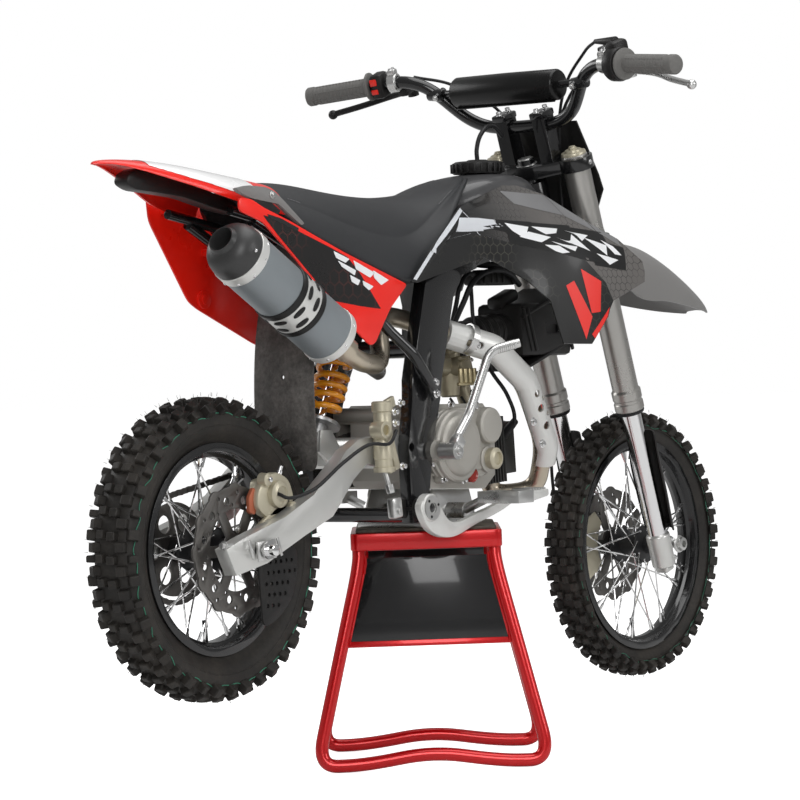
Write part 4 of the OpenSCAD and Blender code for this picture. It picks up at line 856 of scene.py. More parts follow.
def make_tank_cap():
    section = [(0.01, 16), (16, 16), (20, 14), (38, 13), (44, 10), (45, 3), (43, -2), (42, -8), (0.01, -8)]
    bpy.ops.mesh.primitive_circle_add(vertices=len(section), radius=0.01)
    cap = bpy.context.object
    centre = at(748, 0, 604)
    for vertex, (radius, lift) in zip(cap.data.vertices, section):
        vertex.co = centre + Vector((radius, 0, lift)) * MM
    bpy.ops.object.mode_set(mode="EDIT")
    bpy.ops.mesh.select_all(action="SELECT")
    bpy.ops.mesh.spin(steps=48, angle=math.tau, center=centre, axis=(0, 0, 1))
    bpy.ops.object.mode_set(mode="OBJECT")
    outward(cap)
    ribs = [block(centre + Vector((-1.6, 42.5, -6)) * MM, centre + Vector((1.6, 47, 9)) * MM, 0.6)]
    for i in range(1, 24):
        turn = Matrix.Translation(centre) @ Matrix.Rotation(math.tau * i / 24, 4, "Z") @ Matrix.Translation(-centre)
        ribs.append(copy_of(ribs[0], turn))
    cap = soften(join([cap] + ribs, "fuel_cap"), 40)
    fit(cap, "chassis", "black_plastic", BLACK_PLASTIC, "tank_cap")
    vent = hose("tank_vent_hose", [at(748, 0, 618), at(748, 0, 640), at(765, 0, 668), at(800, 4, 680), at(835, 8, 664)], 8)
    fit(vent, "chassis", "black_rubber", CABLE_BLACK)


make_tank_cap()
for done in ("seat", "tank_shrouds", "fuel_tank", "tank_cap"):
    del PLAIN_NODES[done]

# ------------------------------------------------------------------ flat and turned pieces
def slab(name, outline, depth, bevel=0.8, segments=2):
    """A plate: an outline of places in metres, pushed along a vector in millimetres."""
    bpy.ops.mesh.primitive_circle_add(vertices=len(outline), fill_type="NGON")
    made = bpy.context.object
    made.name = made.data.name = name
    for vertex, place in zip(made.data.vertices, outline):
        vertex.co = place
    bpy.ops.object.mode_set(mode="EDIT")
    bpy.ops.mesh.select_all(action="SELECT")
    bpy.ops.mesh.extrude_region_move(TRANSFORM_OT_translate={"value": Vector(depth) * MM})
    bpy.ops.object.mode_set(mode="OBJECT")
    outward(made)
    return round_edges(made, bevel, segments) if bevel else soften(made)


def rounded(points, radius, steps=4):
    """The corners of a closed outline, each turned into a short curve."""
    points = [Vector(point) for point in points]
    made = []
    for i, corner in enumerate(points):
        back, ahead = points[i - 1] - corner, points[(i + 1) % len(points)] - corner
        a = corner + back.normalized() * min(radius, back.length * 0.45)
        b = corner + ahead.normalized() * min(radius, ahead.length * 0.45)
        for k in range(steps + 1):
            t = k / steps
            made.append(a * (1 - t) ** 2 + corner * 2 * t * (1 - t) + b * t ** 2)
    return made


def side_slab(name, points, y, depth, bevel=0.8, radius=6):
    """A plate that faces sideways; points are (x, z) on the bike."""
    return slab(name, [at(x, y, z) for x, z in rounded(points, radius)], (0, depth, 0), bevel)


def lathe(name, start, direction, profile, steps=48, angle=34):
    """A turned piece: profile points are (distance along, radius) in millimetres."""
    direction = Vector(direction).normalized()
    across = direction.orthogonal().normalized()
    bpy.ops.mesh.primitive_circle_add(vertices=len(profile), radius=0.01)
    made = bpy.context.object
    for vertex, (along, radius) in zip(made.data.vertices, profile):
        vertex.co = start + (direction * along + across * radius) * MM
    bpy.ops.object.mode_set(mode="EDIT")
    bpy.ops.mesh.select_all(action="SELECT")
    bpy.ops.mesh.spin(steps=steps, angle=math.tau, center=start, axis=direction)
    bpy.ops.object.mode_set(mode="OBJECT")
    made.name = made.data.name = name
    return soften(outward(made), angle)


def bolt(place, direction, width, height=5, flange=1.35):
    """A hexagon head on a washer face."""
    direction = Vector(direction).normalized()
    washer = rod(place, place + direction * 1.4 * MM, width * flange, 24)
    head = rod(place, place + direction * height * MM, width, 6)
    return round_edges(join([washer, head], "bolt"), 0.5)


def bolts_at(name, body, slot, material, places, direction, width, height=5):
    """Several bolts as one piece; places are already in the world."""
    made = [bolt(place, direction, width, height) for place in places]
    return fit(join(made, name), body, slot, material)


# ------------------------------------------------------------------ tail
TAIL_STATIONS = [
    (-232, 2, 595, 597), (-224, 11, 594, 600), (-204, 19, 595, 602), (-161, 34, 586, 603), (-105, 53, 570, 600),
    (-57, 70, 556, 595), (-14, 84, 541, 589), (30, 92, 530, 583), (70, 96, 522, 578), (110, 96, 514, 573)]


def tail_row(x, half, edge, ridge):
    drop = ridge - edge
    arc = [(half, edge), (half * 1.0, edge + drop * 0.12), (half * 0.93, edge + drop * 0.42), (half * 0.72, ridge - drop * 0.22),
           (half * 0.4, ridge - drop * 0.06)]
    return [(x, -y, z) for y, z in arc] + [(x, 0, ridge)] + [(x, y, z) for y, z in reversed(arc)]


def faced(thing, direction):
    """Turns an open sheet so that it mostly faces a direction."""
    direction = Vector(direction)
    if sum(face.normal.dot(direction) * face.area for face in thing.data.polygons) < 0:
        pick(thing)
        bpy.ops.object.mode_set(mode="EDIT")
        bpy.ops.mesh.select_all(action="SELECT")
        bpy.ops.mesh.flip_normals()
        bpy.ops.object.mode_set(mode="OBJECT")
    return thing


def trimmed(thing, place, normal):
    """Cuts away what lies on the side that normal points to."""
    pick(thing)
    bpy.ops.object.mode_set(mode="EDIT")
    bpy.ops.mesh.select_all(action="SELECT")
    bpy.ops.mesh.bisect(plane_co=place, plane_no=normal, clear_outer=True)
    bpy.ops.object.mode_set(mode="OBJECT")
    return thing


def make_tail():
    tail = faced(skin("tail_fender", bike_rows([tail_row(*station) for station in TAIL_STATIONS]), levels=3), (0, 0, 1))
    cover = copy_of(tail)
    trimmed(cover, at(-143, 0, 600), (-1, 0, -0.05))
    trimmed(cover, at(54, 0, 580), (1, 0, 0.1))
    for side in (-1, 1):
        edge = at(40, side * 93, 540) - at(-143, side * 39, 592)
        trimmed(cover, at(40, side * 93, 540), edge.cross(Vector((0, 1, 0))) * (1 if edge.cross(Vector((0, 1, 0))).z < 0 else -1))
    shape(cover, "DISPLACE", strength=0.7 * MM, mid_level=0.0)
    fit(cover, "chassis", "red_plastic", WHITE_PLASTIC)
    shape(tail, "SOLIDIFY", thickness=3.2 * MM, offset=-1.0)
    fit(soften(tail, 50), "chassis", "red_plastic", RED_PLASTIC, "rear_fender")
    # A black sheet inside the tail, below the fender's edges: painted shade standing for the dark underside of the
    # fender.
    shade_sheet = side_slab("tail_shade_sheet", [(-172, 566), (-164, 582), (-140, 590), (-90, 584), (0, 562), (86, 540), (92, 520), (40, 528),
                                   (-40, 546), (-110, 553), (-150, 556)], -14, 28, 3.0, 10)
    fit(shade_sheet, "chassis", "red_plastic", BLACK_PLASTIC)


make_tail()


# ------------------------------------------------------------------ side panels
PANEL_RIGHT = [(-30, 541), (0, 539), (30, 526), (95, 505), (143, 487), (229, 456), (388, 405), (340, 366), (316, 336), (299, 312),
               (285, 307), (236, 340), (163, 394), (110, 440), (26, 503), (-30, 520)]
PANEL_PRINT = [(26, 514), (60, 508), (116, 488), (190, 464), (232, 449), (262, 424), (314, 366), (262, 371), (195, 380), (160, 404),
               (113, 442), (60, 484)]
PANEL_LEFT = [(16, 557), (60, 560), (150, 545), (384, 404), (340, 364), (319, 330), (300, 309), (270, 316), (128, 376), (108, 388),
              (20, 516)]


def make_right_panel():
    outer = side_slab("right_side_panel", PANEL_RIGHT, -112, -4, 1.6, 9)
    dent = side_slab("dent", [(30, 509), (60, 503), (116, 482), (232, 443), (258, 420), (300, 372), (262, 375), (196, 384), (113, 446),
                              (64, 484)], -117.2, 2.2, 0, 4)
    cut(outer, dent)
    fit(soften(outer, 30), "chassis", "red_plastic", RED_PLASTIC, "side_panels")
    fit(side_slab("right_panel_print", PANEL_PRINT, -116, -0.5, 0, 3), "chassis", "red_plastic", PANEL_BLACK)
    shards = [[(196, 459), (236, 446), (226, 440), (202, 448)], [(206, 444), (252, 428), (248, 420), (216, 434)],
              [(246, 444), (300, 424), (288, 416), (252, 430)], [(236, 421), (262, 412), (256, 404), (240, 410)],
              [(296, 428), (336, 412), (316, 404), (298, 416)], [(268, 412), (296, 402), (284, 396), (270, 404)]]
    made = [side_slab("shard", points, -116.6, -0.4, 0, 2) for points in shards]
    fit(join(made, "right_panel_shards"), "chassis", "red_plastic", PRINTS["print_white"])
    streak = side_slab("right_panel_streak", [(36, 516), (70, 509), (112, 494), (108, 489), (68, 502), (40, 510)], -116.6, -0.4, 0, 2)
    fit(streak, "chassis", "red_plastic", GREY_SHROUD)
    pegs = [rod(at(x, -111, z), at(x, -98, z), 12, 20) for x, z in ((270, 409), (150, 465.6))]
    fit(round_edges(join(pegs, "right_panel_pegs"), 0.6), "chassis", "red_plastic", RED_PLASTIC)
    grab = side_slab("grab_handle", [(-30, 555), (0, 560), (40, 558), (62, 552), (84, 538), (134, 502), (126, 499), (72, 532), (54, 534),
                                     (6, 540), (-22, 549)], -102, -9, 3.0, 6)
    fit(grab, "chassis", "red_plastic", FENDER_GREY)
    slot = side_slab("grab_slot", [(4, 540), (52, 536), (78, 522), (70, 514), (40, 524), (8, 532)], -106, -4, 1.5, 4)
    fit(slot, "chassis", "black_plastic", BLACK_PLASTIC)
    bolts_at("grab_handle_bolt", "chassis", "steel", STEEL, [at(56, -111, 546)], (0, -1, 0), 9, 4)


def make_left_panel():
    outer = side_slab("left_side_panel", PANEL_LEFT, 112, 4, 1.4, 12)
    fit(outer, "chassis", "red_plastic", RED_PLASTIC, "side_panels")
    rib = side_slab("left_panel_rib", [(46, 534), (150, 520), (152, 514), (48, 526)], 112, -2.4, 1.0, 2)
    bosses = [rod(at(x, 113, z), at(x, y, z), width, 32) for x, z, width, y in ((74, 549, 20, 106), (144, 391, 30, 108), (144, 391, 16, 106))]
    pegs = [rod(at(x, 98, z), at(x, 113, z), 12, 20) for x, z in ((270, 409), (150, 465.6))]
    fit(round_edges(join([rib] + bosses + pegs, "left_panel_bosses"), 0.8), "chassis", "red_plastic", RED_PLASTIC)
    collar = ring(at(74, 111, 549), at(74, 107.6, 549), 33, 20)
    fit(collar, "chassis", "black_plastic", BLACK_PLASTIC)


make_right_panel()
make_left_panel()


# ------------------------------------------------------------------ silencer
PIPE_DIRECTION = Vector((-262, 0, 155)).normalized()
SILENCER_IN = Vector((202, -106, 320))
SILENCER_WIDTH, SILENCER_LENGTH = 93, 262


def along_silencer(distance):
    return at(*(SILENCER_IN + PIPE_DIRECTION * distance))


def make_silencer():
    start, r = along_silencer(0), SILENCER_WIDTH / 2
    body = lathe("silencer_body", start, PIPE_DIRECTION,
                 [(0.5, r * 0.7), (8, r * 0.9), (14, r), (SILENCER_LENGTH, r), (SILENCER_LENGTH, 19), (60, 19), (60, 1), (0.5, 1)], 96)
    fit(body, "chassis", "silencer_grey", SILENCER_GREY, "silencer")
    bands = []
    for low, high, lift in ((6, 20, 1.6), (102, 142, 1.2), (246, 264, 1.2)):
        bands.append(lathe("band", start, PIPE_DIRECTION, [(low, r - 2), (low, r + lift - 0.6), (low + 0.8, r + lift), (high - 0.8, r + lift),
                                                           (high, r + lift - 0.6), (high, r - 2)], 96))
    fit(join(bands, "silencer_bands"), "chassis", "silencer_grey", SHIELD_ALLOY)
    rings = []
    for low, high in ((91, 103), (141, 154)):
        rings.append(lathe("ring", start, PIPE_DIRECTION, [(low, r - 2), (low, r + 1.2), (low + 2, r + 2.6), (high - 2, r + 2.6),
                                                           (high, r + 1.2), (high, r - 2)], 96))
    side = PIPE_DIRECTION.orthogonal().normalized()
    bpy.ops.mesh.primitive_uv_sphere_add(segments=24, ring_count=12, radius=1)
    oval = bpy.context.object
    for row, distance in enumerate((112, 132)):
        for i in range(8):
            outwards = Matrix.Rotation(math.tau * (i + 0.25 * row) / 8, 3, PIPE_DIRECTION) @ side
            tangent = PIPE_DIRECTION.cross(outwards)
            axes = Matrix((tangent * 0.0125, PIPE_DIRECTION * 0.0052, outwards * 0.0016)).transposed().to_4x4()
            rings.append(copy_of(oval, Matrix.Translation(along_silencer(distance) + outwards * (r + 1.0) * MM) @ axes))
    bpy.data.objects.remove(oval)
    fit(soften(join(rings, "silencer_black_rings"), 40), "chassis", "black_plastic", BLACK_PLASTIC)
    rivets = []
    for distance, count, turn in ((250, 10, 0.2), (13, 8, 0.5)):
        for i in range(count):
            outwards = Matrix.Rotation(math.tau * (i + turn) / count, 3, PIPE_DIRECTION) @ side
            place = along_silencer(distance) + outwards * (r + 0.8) * MM
            rivets.append(lathe("rivet", place, outwards, [(0, 2.6), (1.0, 2.5), (1.8, 1.6), (2.1, 0.01), (0, 0.01)], 16))
    fit(join(rivets, "silencer_rivets"), "chassis", "silencer_grey", CHROME)
    cap_start = SILENCER_LENGTH + 2
    cap = lathe("silencer_end_cap", along_silencer(cap_start), PIPE_DIRECTION,
                [(0, r - 0.6), (9, r - 0.8), (18, r - 2.4), (26, r - 6), (32, r - 11), (36, r - 17), (38, r - 22), (44, 22.6), (46, 21.6),
                 (46, 20), (42, 19), (0, 19)], 96)
    vent = block(Vector((-0.0035, -0.011, -0.004)), Vector((0.0035, 0.011, 0.004)), 1.6)
    outwards = Matrix.Rotation(2.35, 3, PIPE_DIRECTION) @ side
    tangent = PIPE_DIRECTION.cross(outwards)
    for sign in (-1, 1):
        if (Matrix.Rotation(sign * 1.2, 3, PIPE_DIRECTION) @ Vector((0, -1, 0))).z < -0.2:
            outwards = Matrix.Rotation(sign * 0.35, 3, PIPE_DIRECTION) @ Vector((0, -1, 0))
    tangent = PIPE_DIRECTION.cross(outwards)
    spot = along_silencer(cap_start + 20) + outwards * (r - 5.4) * MM
    vent.data.transform(Matrix.Translation(spot) @ Matrix((PIPE_DIRECTION, tangent, outwards)).transposed().to_4x4())
    cut(cap, vent)
    fit(soften(cap, 30), "chassis", "black_plastic", CAP_BLACK, "silencer_cap")
    place = along_silencer(cap_start + 12) + (outwards * (r - 2.6) + tangent * 13) * MM
    fit(lathe("cap_rivet", place, outwards, [(0, 3), (1.2, 2.8), (2.2, 1.6), (2.4, 0.01), (0, 0.01)], 16), "chassis", "steel", CHROME)


CAP_BLACK = finish("satin_cap_black", (0.045, 0.045, 0.045), 0.42, metallic=0.4, bump=0.06, grain=420, variation=0.08)
make_silencer()


# ------------------------------------------------------------------ mud flap
def make_mud_flap():
    """A bent rubber sheet behind the shock: narrow at the top, with a rolled lower lip."""
    rows = []
    for z, x, half in ((482, 250, 40), (440, 238, 52), (400, 226, 58), (350, 214, 61), (300, 204, 60), (250, 200, 60), (200, 200, 61),
                       (160, 203, 61), (128, 207, 57), (112, 211, 50)):
        rows.append([(x + 7 * (y / 60) ** 2 - 3, y * half / 60, z) for y in (-60, -52, -30, -8, 14, 36, 52, 60)])
    flap = skin("mud_flap_sheet", bike_rows(rows), levels=2)
    shape(flap, "SOLIDIFY", thickness=5 * MM, offset=0.0)
    cut(flap, rod(at(150, -4, 262), at(260, -4, 262), 7, 20))
    fit(soften(flap, 50), "chassis", "mud_rubber", MUD_RUBBER, "mud_flap")


make_mud_flap()


# ------------------------------------------------------------------ rear disc guard
def make_disc_guard():
    fin = side_slab("disc_guard_fin", [(18, -8), (112, 2), (116, -40), (98, -84), (62, -112), (26, -124)], -89, 4, 1.2, 16)
    for row, (count, offset) in enumerate(((6, 0), (6, 7), (5, 2), (4, 8), (3, 4))):
        for i in range(count):
            spot = at(34 + i * 13 + offset, -87, -22 - row * 17)
            cut(fin, rod(spot - Vector((0, 0.01, 0)), spot + Vector((0, 0.01, 0)), 7, 12))
    fit(soften(fin, 30), "chassis", "black_plastic", BLACK_PLASTIC, "disc_guard")


make_disc_guard()
for done in ("rear_fender", "side_panels", "silencer", "silencer_cap", "mud_flap", "disc_guard"):
    del PLAIN_NODES[done]

# ------------------------------------------------------------------ handlebar and its controls
BAR_END, BAR_BEND, BAR_FOOT = Vector((-64, 391, 254)), Vector((-14, 181, 258)), Vector((20, 96, 149))
GRIP_LENGTH = 120
PAD_PLACE, PAD_LENGTH = Vector((-6, 0, 224)), 220
PAD_BLACK = finish("pad_cover_black", (0.006, 0.006, 0.006), 0.3, bump=0.2, grain=520, variation=0.1)
SWITCH_RED = finish("switch_red", (0.8, 0.02, 0.01), 0.3, bump=0.02, grain=400)


def on_grip(side, distance, ahead=0, up=0):
    """A place by a grip: distance in from the bar's end, then ahead and up in the fork's frame."""
    place = BAR_END + (BAR_BEND - BAR_END).normalized() * distance
    return on_fork(place.x + ahead, side * place.y, place.z + up)


def bent(points, radius, steps=5):
    """An open route whose inner corners are turned into short curves."""
    points = [Vector(point) for point in points]
    made = [points[0]]
    for before, corner, after in zip(points, points[1:], points[2:]):
        back, ahead = before - corner, after - corner
        a = corner + back.normalized() * min(radius, back.length * 0.45)
        b = corner + ahead.normalized() * min(radius, ahead.length * 0.45)
        made += [a.lerp(corner, t / steps).lerp(corner.lerp(b, t / steps), t / steps) for t in range(steps + 1)]
    return made + [points[-1]]


def make_handlebar():
    half = [on_fork(*place) for place in (BAR_FOOT, BAR_BEND, BAR_END)]
    other = [on_fork(place.x, -place.y, place.z) for place in (BAR_FOOT, BAR_BEND, BAR_END)]
    tube = hose("handlebar_tube", bent(half[::-1] + other, 52 * MM), 22, sides_detail=6, steps=3)
    across = PAD_PLACE
    bar = rod(on_fork(across.x, -150, across.z), on_fork(across.x, 150, across.z), 13, 32)
    clamps = []
    for side in (-1, 1):
        clamps.append(rod(on_fork(-8, side * 138, 222), on_fork(-8, side * 168, 226), 22, 32))
        clamps.append(rod(on_fork(-22, side * 146, 222), on_fork(6, side * 146, 228), 13, 24))
    fit(round_edges(join([tube, bar] + clamps, "handlebar_finished"), 0.8), "steering", "black_gloss", GLOSS_BLACK, "handlebar")
    heads = [on_fork(-23, side * 146, 222) for side in (-1, 1)]
    bolts_at("crossbar_bolts", "steering", "steel", STEEL, heads, -FORK_AHEAD, 8, 4)
    r = 27
    pad = lathe("bar_pad_cover", on_fork(across.x, -PAD_LENGTH / 2, across.z), (0, 1, 0),
                [(0, 6.6), (0, r - 5), (1.5, r - 2), (5, r), (PAD_LENGTH * 0.5, r + 0.8), (PAD_LENGTH - 5, r),
                 (PAD_LENGTH - 1.5, r - 2), (PAD_LENGTH, r - 5), (PAD_LENGTH, 6.6)], 64)
    seam = block(Vector((-0.004, -0.105, -0.0012)), Vector((0.004, 0.105, 0.0012)), 0.8)
    seam.data.transform(Matrix.Translation(on_fork(across.x - 14, 0, across.z - r * 0.87)) @ Matrix.Rotation(-0.9, 4, "Y"))
    fit(join([pad, seam], "bar_pad_cover"), "steering", "black_rubber", PAD_BLACK, "bar_pad")


def make_grips():
    made = []
    for side in (-1, 1):
        start = on_grip(side, -2)
        inward = on_grip(side, 100) - start
        profile = [(0, 0.01), (0, 12), (1.5, 15.5), (4, 17), (14, 17), (15, 15.6)]
        for k in range(15):
            low = 17 + k * 6.6
            profile += [(low, 15.6), (low + 0.8, 16.2), (low + 4.4, 16.2), (low + 5.2, 15.6)]
        flange = 27 if side < 0 else 25
        profile += [(118, 15.8), (120, 20), (121.5, flange - 2), (123, flange), (126, flange), (127, flange - 1.5), (127, 11.5), (2, 11.5), (2, 0.01)]
        made.append(lathe("grip", start, inward, profile, 64))
        for k in range(28):
            turn = math.tau * k / 28
            axis = inward.normalized()
            out = Matrix.Rotation(turn, 3, axis) @ axis.orthogonal().normalized()
            if k % 4 == 0:
                made.append(rod(on_grip(side, 20) + out * 15.7 * MM, on_grip(side, 112) + out * 15.7 * MM, 2.2, 8))
    fit(soften(join(made, "grips_finished"), 34), "steering", "grip_rubber", GRIP_RUBBER, "grips")


def turned_block(place, size, bevel, along=(0, 1, 0), up=None):
    """A rounded block centred on a place, its long side lying along a direction."""
    along = Vector(along).normalized()
    up = Vector(up) if up else FORK_UP
    ahead = along.cross(up).normalized()
    high = ahead.cross(along).normalized()
    half = Vector(size) * MM / 2
    made = block(-half, half, bevel)
    made.data.transform(Matrix.Translation(place) @ Matrix((ahead, along, high)).transposed().to_4x4())
    return made


def make_controls():
    left, right = on_grip(1, 200) - on_grip(1, 0), on_grip(-1, 200) - on_grip(-1, 0)
    g = GRIP_LENGTH
    housings = [turned_block(on_grip(1, g + 22), (38, 24, 44), 6, left),
                lathe("throttle", on_grip(-1, g + 7), right, [(0, 11.5), (0, 24), (2, 28), (6, 30), (20, 30), (25, 27), (28, 22), (29, 11.5)], 64),
                turned_block(on_grip(-1, g + 22, 10, 22), (36, 26, 34), 8, right),
                rod(on_grip(-1, g + 24, 12, 36), on_grip(-1, g + 78, 16, 34), 17, 24, 8),
                turned_block(on_grip(-1, g + 58, 38, 3), (24, 62, 20), 5, right),
                turned_block(on_grip(1, g + 46, 36, -22), (40, 20, 18), 5, left),
                turned_block(on_grip(-1, g + 42, 50, -22), (34, 26, 20), 6, right)]
    fit(round_edges(join(housings, "control_housings"), 0.5), "steering", "black_plastic", BLACK_PLASTIC, "bar_controls")
    buttons = [turned_block(on_grip(1, g + 22, -19, 9), (4, 13, 12), 1.5, left), turned_block(on_grip(1, g + 22, -19, -8), (4, 13, 9), 1.5, left)]
    fit(join(buttons, "switch_buttons"), "steering", "black_plastic", SWITCH_RED)
    perches = []
    for side, inward, start in ((1, left, g + 40), (-1, right, g + 40)):
        perches.append(lathe("perch", on_grip(side, start), inward, [(0, 11.4), (0, 15), (2, 17), (16, 17), (18, 15), (18, 11.4)], 48))
        perches.append(turned_block(on_grip(side, start + 9, 0, 19), (16, 16, 9), 2, inward))
        perches.append(turned_block(on_grip(side, start + 9, 16, -4), (22, 14, 16), 3, inward))
    fit(round_edges(join(perches, "lever_perches"), 0.4), "steering", "lever_alloy", STEEL)
    tops = [on_grip(side, g + 49, ahead, 23) for side in (-1, 1) for ahead in (-4, 5)]
    bolts_at("perch_bolts", "steering", "steel", CHROME, tops, FORK_UP, 6, 4)
    reservoir = [turned_block(on_grip(-1, g + 60, 40, 16), (30, 44, 10), 3, right)]
    fit(join(reservoir, "brake_reservoir_lid"), "steering", "black_plastic", GLOSS_BLACK)
    screws = [on_grip(-1, g + along, 40, 21) for along in (44, 76)]
    bolts_at("reservoir_screws", "steering", "steel", CHROME, screws, FORK_UP, 5, 2)


def make_levers():
    for side, material, name in ((1, BLACK_PLASTIC, "clutch_lever"), (-1, LEVER_ALLOY, "brake_lever")):
        route = [on_grip(side, GRIP_LENGTH + 40, 62, -30), on_grip(side, GRIP_LENGTH - 6, 70, -36), on_grip(side, 60, 54, -42),
                 on_grip(side, 14, 44, -46)]
        blade = hose(name, route, 11, sides_detail=5, steps=12)
        tip = on_grip(side, 8, 43, -47)
        bpy.ops.mesh.primitive_uv_sphere_add(segments=32, ring_count=16, radius=0.0085, location=tip)
        ball = settle(bpy.context.object)
        boss = rod(on_grip(side, GRIP_LENGTH + 42, 58, -40), on_grip(side, GRIP_LENGTH + 42, 58, -20), 20, 32)
        nodes = ("hand_levers",) if side < 0 else ()
        fit(round_edges(join([blade, ball, boss], name), 0.6), "steering", "lever_alloy", material, *nodes)
        bolts_at(name + "_pivot", "steering", "steel", CHROME, [on_grip(side, GRIP_LENGTH + 42, 58, -20)], FORK_UP, 8, 4)


def make_bar_clamps():
    """The top clamp's risers with their caps, the stem nut and the pinch bolts."""
    caps, nuts = [], []
    for side in (-1, 1):
        caps.append(turned_block(on_fork(20, side * 40, 168), (40, 28, 12), 3, (0, 1, 0), FORK_UP))
        for ahead in (6, 34):
            nuts.append(on_fork(ahead, side * 40, 174))
    fit(join(caps, "bar_clamp_caps"), "steering", "black_gloss", GLOSS_BLACK)
    bolts_at("bar_clamp_bolts", "steering", "steel", CHROME, nuts, FORK_UP, 9, 7)
    bolts_at("stem_nut", "steering", "steel", STEEL, [on_fork(0, 0, 84)], FORK_UP, 28, 12)
    pinch = [on_fork(30, side * 108, z) for side in (-1, 1) for z in (-81, -69, 73)]
    made = [bolt(place, (0, math.copysign(1, place.y), 0), 9, 6) for place in pinch]
    fit(join(made, "pinch_bolts"), "steering", "steel", CHROME)


# ------------------------------------------------------------------ fork
def make_fork():
    for side, word in ((-1, "right"), (1, "left")):
        foot = on_fork(32, side * 80, 0)
        outer = lathe("fork_outer_" + word, foot, FORK_UP,
                      [(-386, 17.8), (-386, 25), (-384, 26.5), (-372, 26.5), (-370, 25), (-366, 25), (-364, 26.5), (-350, 26.5), (-346, 23.5),
                       (-110, 23.5), (-100, 24.6), (-60, 24.6), (-52, 23.5), (86, 23.5), (88, 22), (88, 17.8)], 64)
        fit(outer, "steering", "fork_titanium", FORK_TITANIUM, "fork_outers")
        seal = lathe("fork_seal_" + word, foot, FORK_UP, [(-392, 17.7), (-392, 24), (-389, 25.4), (-386.5, 25.4), (-386.5, 17.7)], 64)
        fit(seal, "steering", "black_rubber", CABLE_BLACK)
        cap = lathe("fork_cap_" + word, foot, FORK_UP, [(87, 0.01), (87, 22), (90, 22.4), (93, 21), (94, 15), (97, 14), (98, 6), (103, 5.4), (104, 0.01)], 48)
        screw = rod(on_fork(32, side * 80, 93), on_fork(32, side * 80, 101), 15, 6)
        fit(join([cap, round_edges(screw, 0.5)], "fork_cap_" + word), "steering", "champagne", CHAMPAGNE)
        stanchion = lathe("fork_stanchion_" + word, foot, FORK_UP, [(-634, 17.5), (-70, 17.5), (-70, 1), (-634, 1)], 64)
        fit(stanchion, "steering", "chrome", CHROME, "fork_inners")
        lug = [lathe("lug", foot, FORK_UP, [(-686, 1), (-686, 17), (-683, 21), (-626, 21.6), (-624, 19.6), (-622, 17.6), (-622, 1)], 64),
               turned_block(on_fork(50, side * 80, -656), (40, 32, 38), 7, (0, 1, 0), FORK_UP),
               rod(on_fork(64, side * 64, -656), on_fork(64, side * 96, -656), 40, 48),
               turned_block(on_fork(32, side * 80, -690), (26, 26, 12), 4, (0, 1, 0), FORK_UP)]
        cut(join(lug, "fork_lug_" + word), rod(on_fork(64, side * 50, -656), on_fork(64, side * 110, -656), 16, 32))
        fit(round_edges(lug[0], 1.2), "steering", "fork_titanium", ARM_ALLOY)
        rows = []
        for up in (-622, -600, -560, -520, -480, -450, -436):
            reach = 33 if up > -600 else 31
            swing = 78 if up < -470 else 62
            rows.append([on_fork(32 + reach * math.cos(math.radians(a)), side * 80 + reach * math.sin(math.radians(a)), up)
                         for a in range(-swing, swing + 1, swing // 4)])
        guard = skin("fork_guard_" + word, rows, thickness=2.4, levels=2, offset=0.0)
        mount = turned_block(on_fork(52, side * 80, -610), (26, 20, 12), 2, (0, 1, 0), FORK_UP)
        fit(join([guard, mount], "fork_guard_" + word), "steering", "black_plastic", BLACK_PLASTIC, "fork_guards")
    pinch = [on_fork(ahead, side * 97, z) for side in (-1, 1) for ahead, z in ((44, -638), (44, -674))]
    made = [bolt(place, (0, math.copysign(1, place.y), 0), 8, 5) for place in pinch]
    fit(join(made, "axle_pinch_bolts"), "steering", "steel", CHROME)
    ends = [lathe("nut", on_fork(64, side * 97, -656), (0, side, 0), [(0, 1), (0, 15), (2, 16), (4, 15), (5, 12), (12, 11.5), (13, 8), (13, 6), (3, 6), (3, 1)], 40)
            for side in (-1, 1)]
    fit(join(ends, "front_axle_ends"), "steering", "steel", STEEL)


# ------------------------------------------------------------------ number plate and front fender
def make_number_plate():
    """A curved plate ahead of the bars, its sides swept back."""
    rows = []
    for up, half in ((-46, 68), (-20, 82), (12, 101), (40, 98), (62, 93), (90, 87), (116, 81), (139, 76)):
        rows.append([on_fork(72 - 5 * (t / 4) ** 2, half * t / 4, up) for t in range(-4, 5)])
    plate = faced(skin("number_plate_sheet", rows, levels=2, crisp=True), FORK_AHEAD)
    shape(plate, "SOLIDIFY", thickness=3.2 * MM, offset=0.0)
    stays = [rod(on_fork(44, side * 30, 73), on_fork(71, side * 30, 73), 10, 20) for side in (-1, 1)]
    fit(soften(join([plate] + stays, "number_plate_sheet"), 50), "steering", "black_plastic", BLACK_PLASTIC, "number_plate")


FENDER_STATIONS = [
    (934, 40, 404, 412), (960, 46, 412, 426), (1000, 50, 424, 444), (1050, 56, 430, 462), (1100, 62, 400, 474), (1134, 66, 376, 478),
    (1180, 66, 370, 474), (1230, 64, 371, 456), (1280, 62, 364, 433), (1325, 57, 358, 409), (1365, 49, 353, 388), (1395, 40, 350, 371),
    (1415, 30, 348, 361), (1426, 24, 347, 355)]


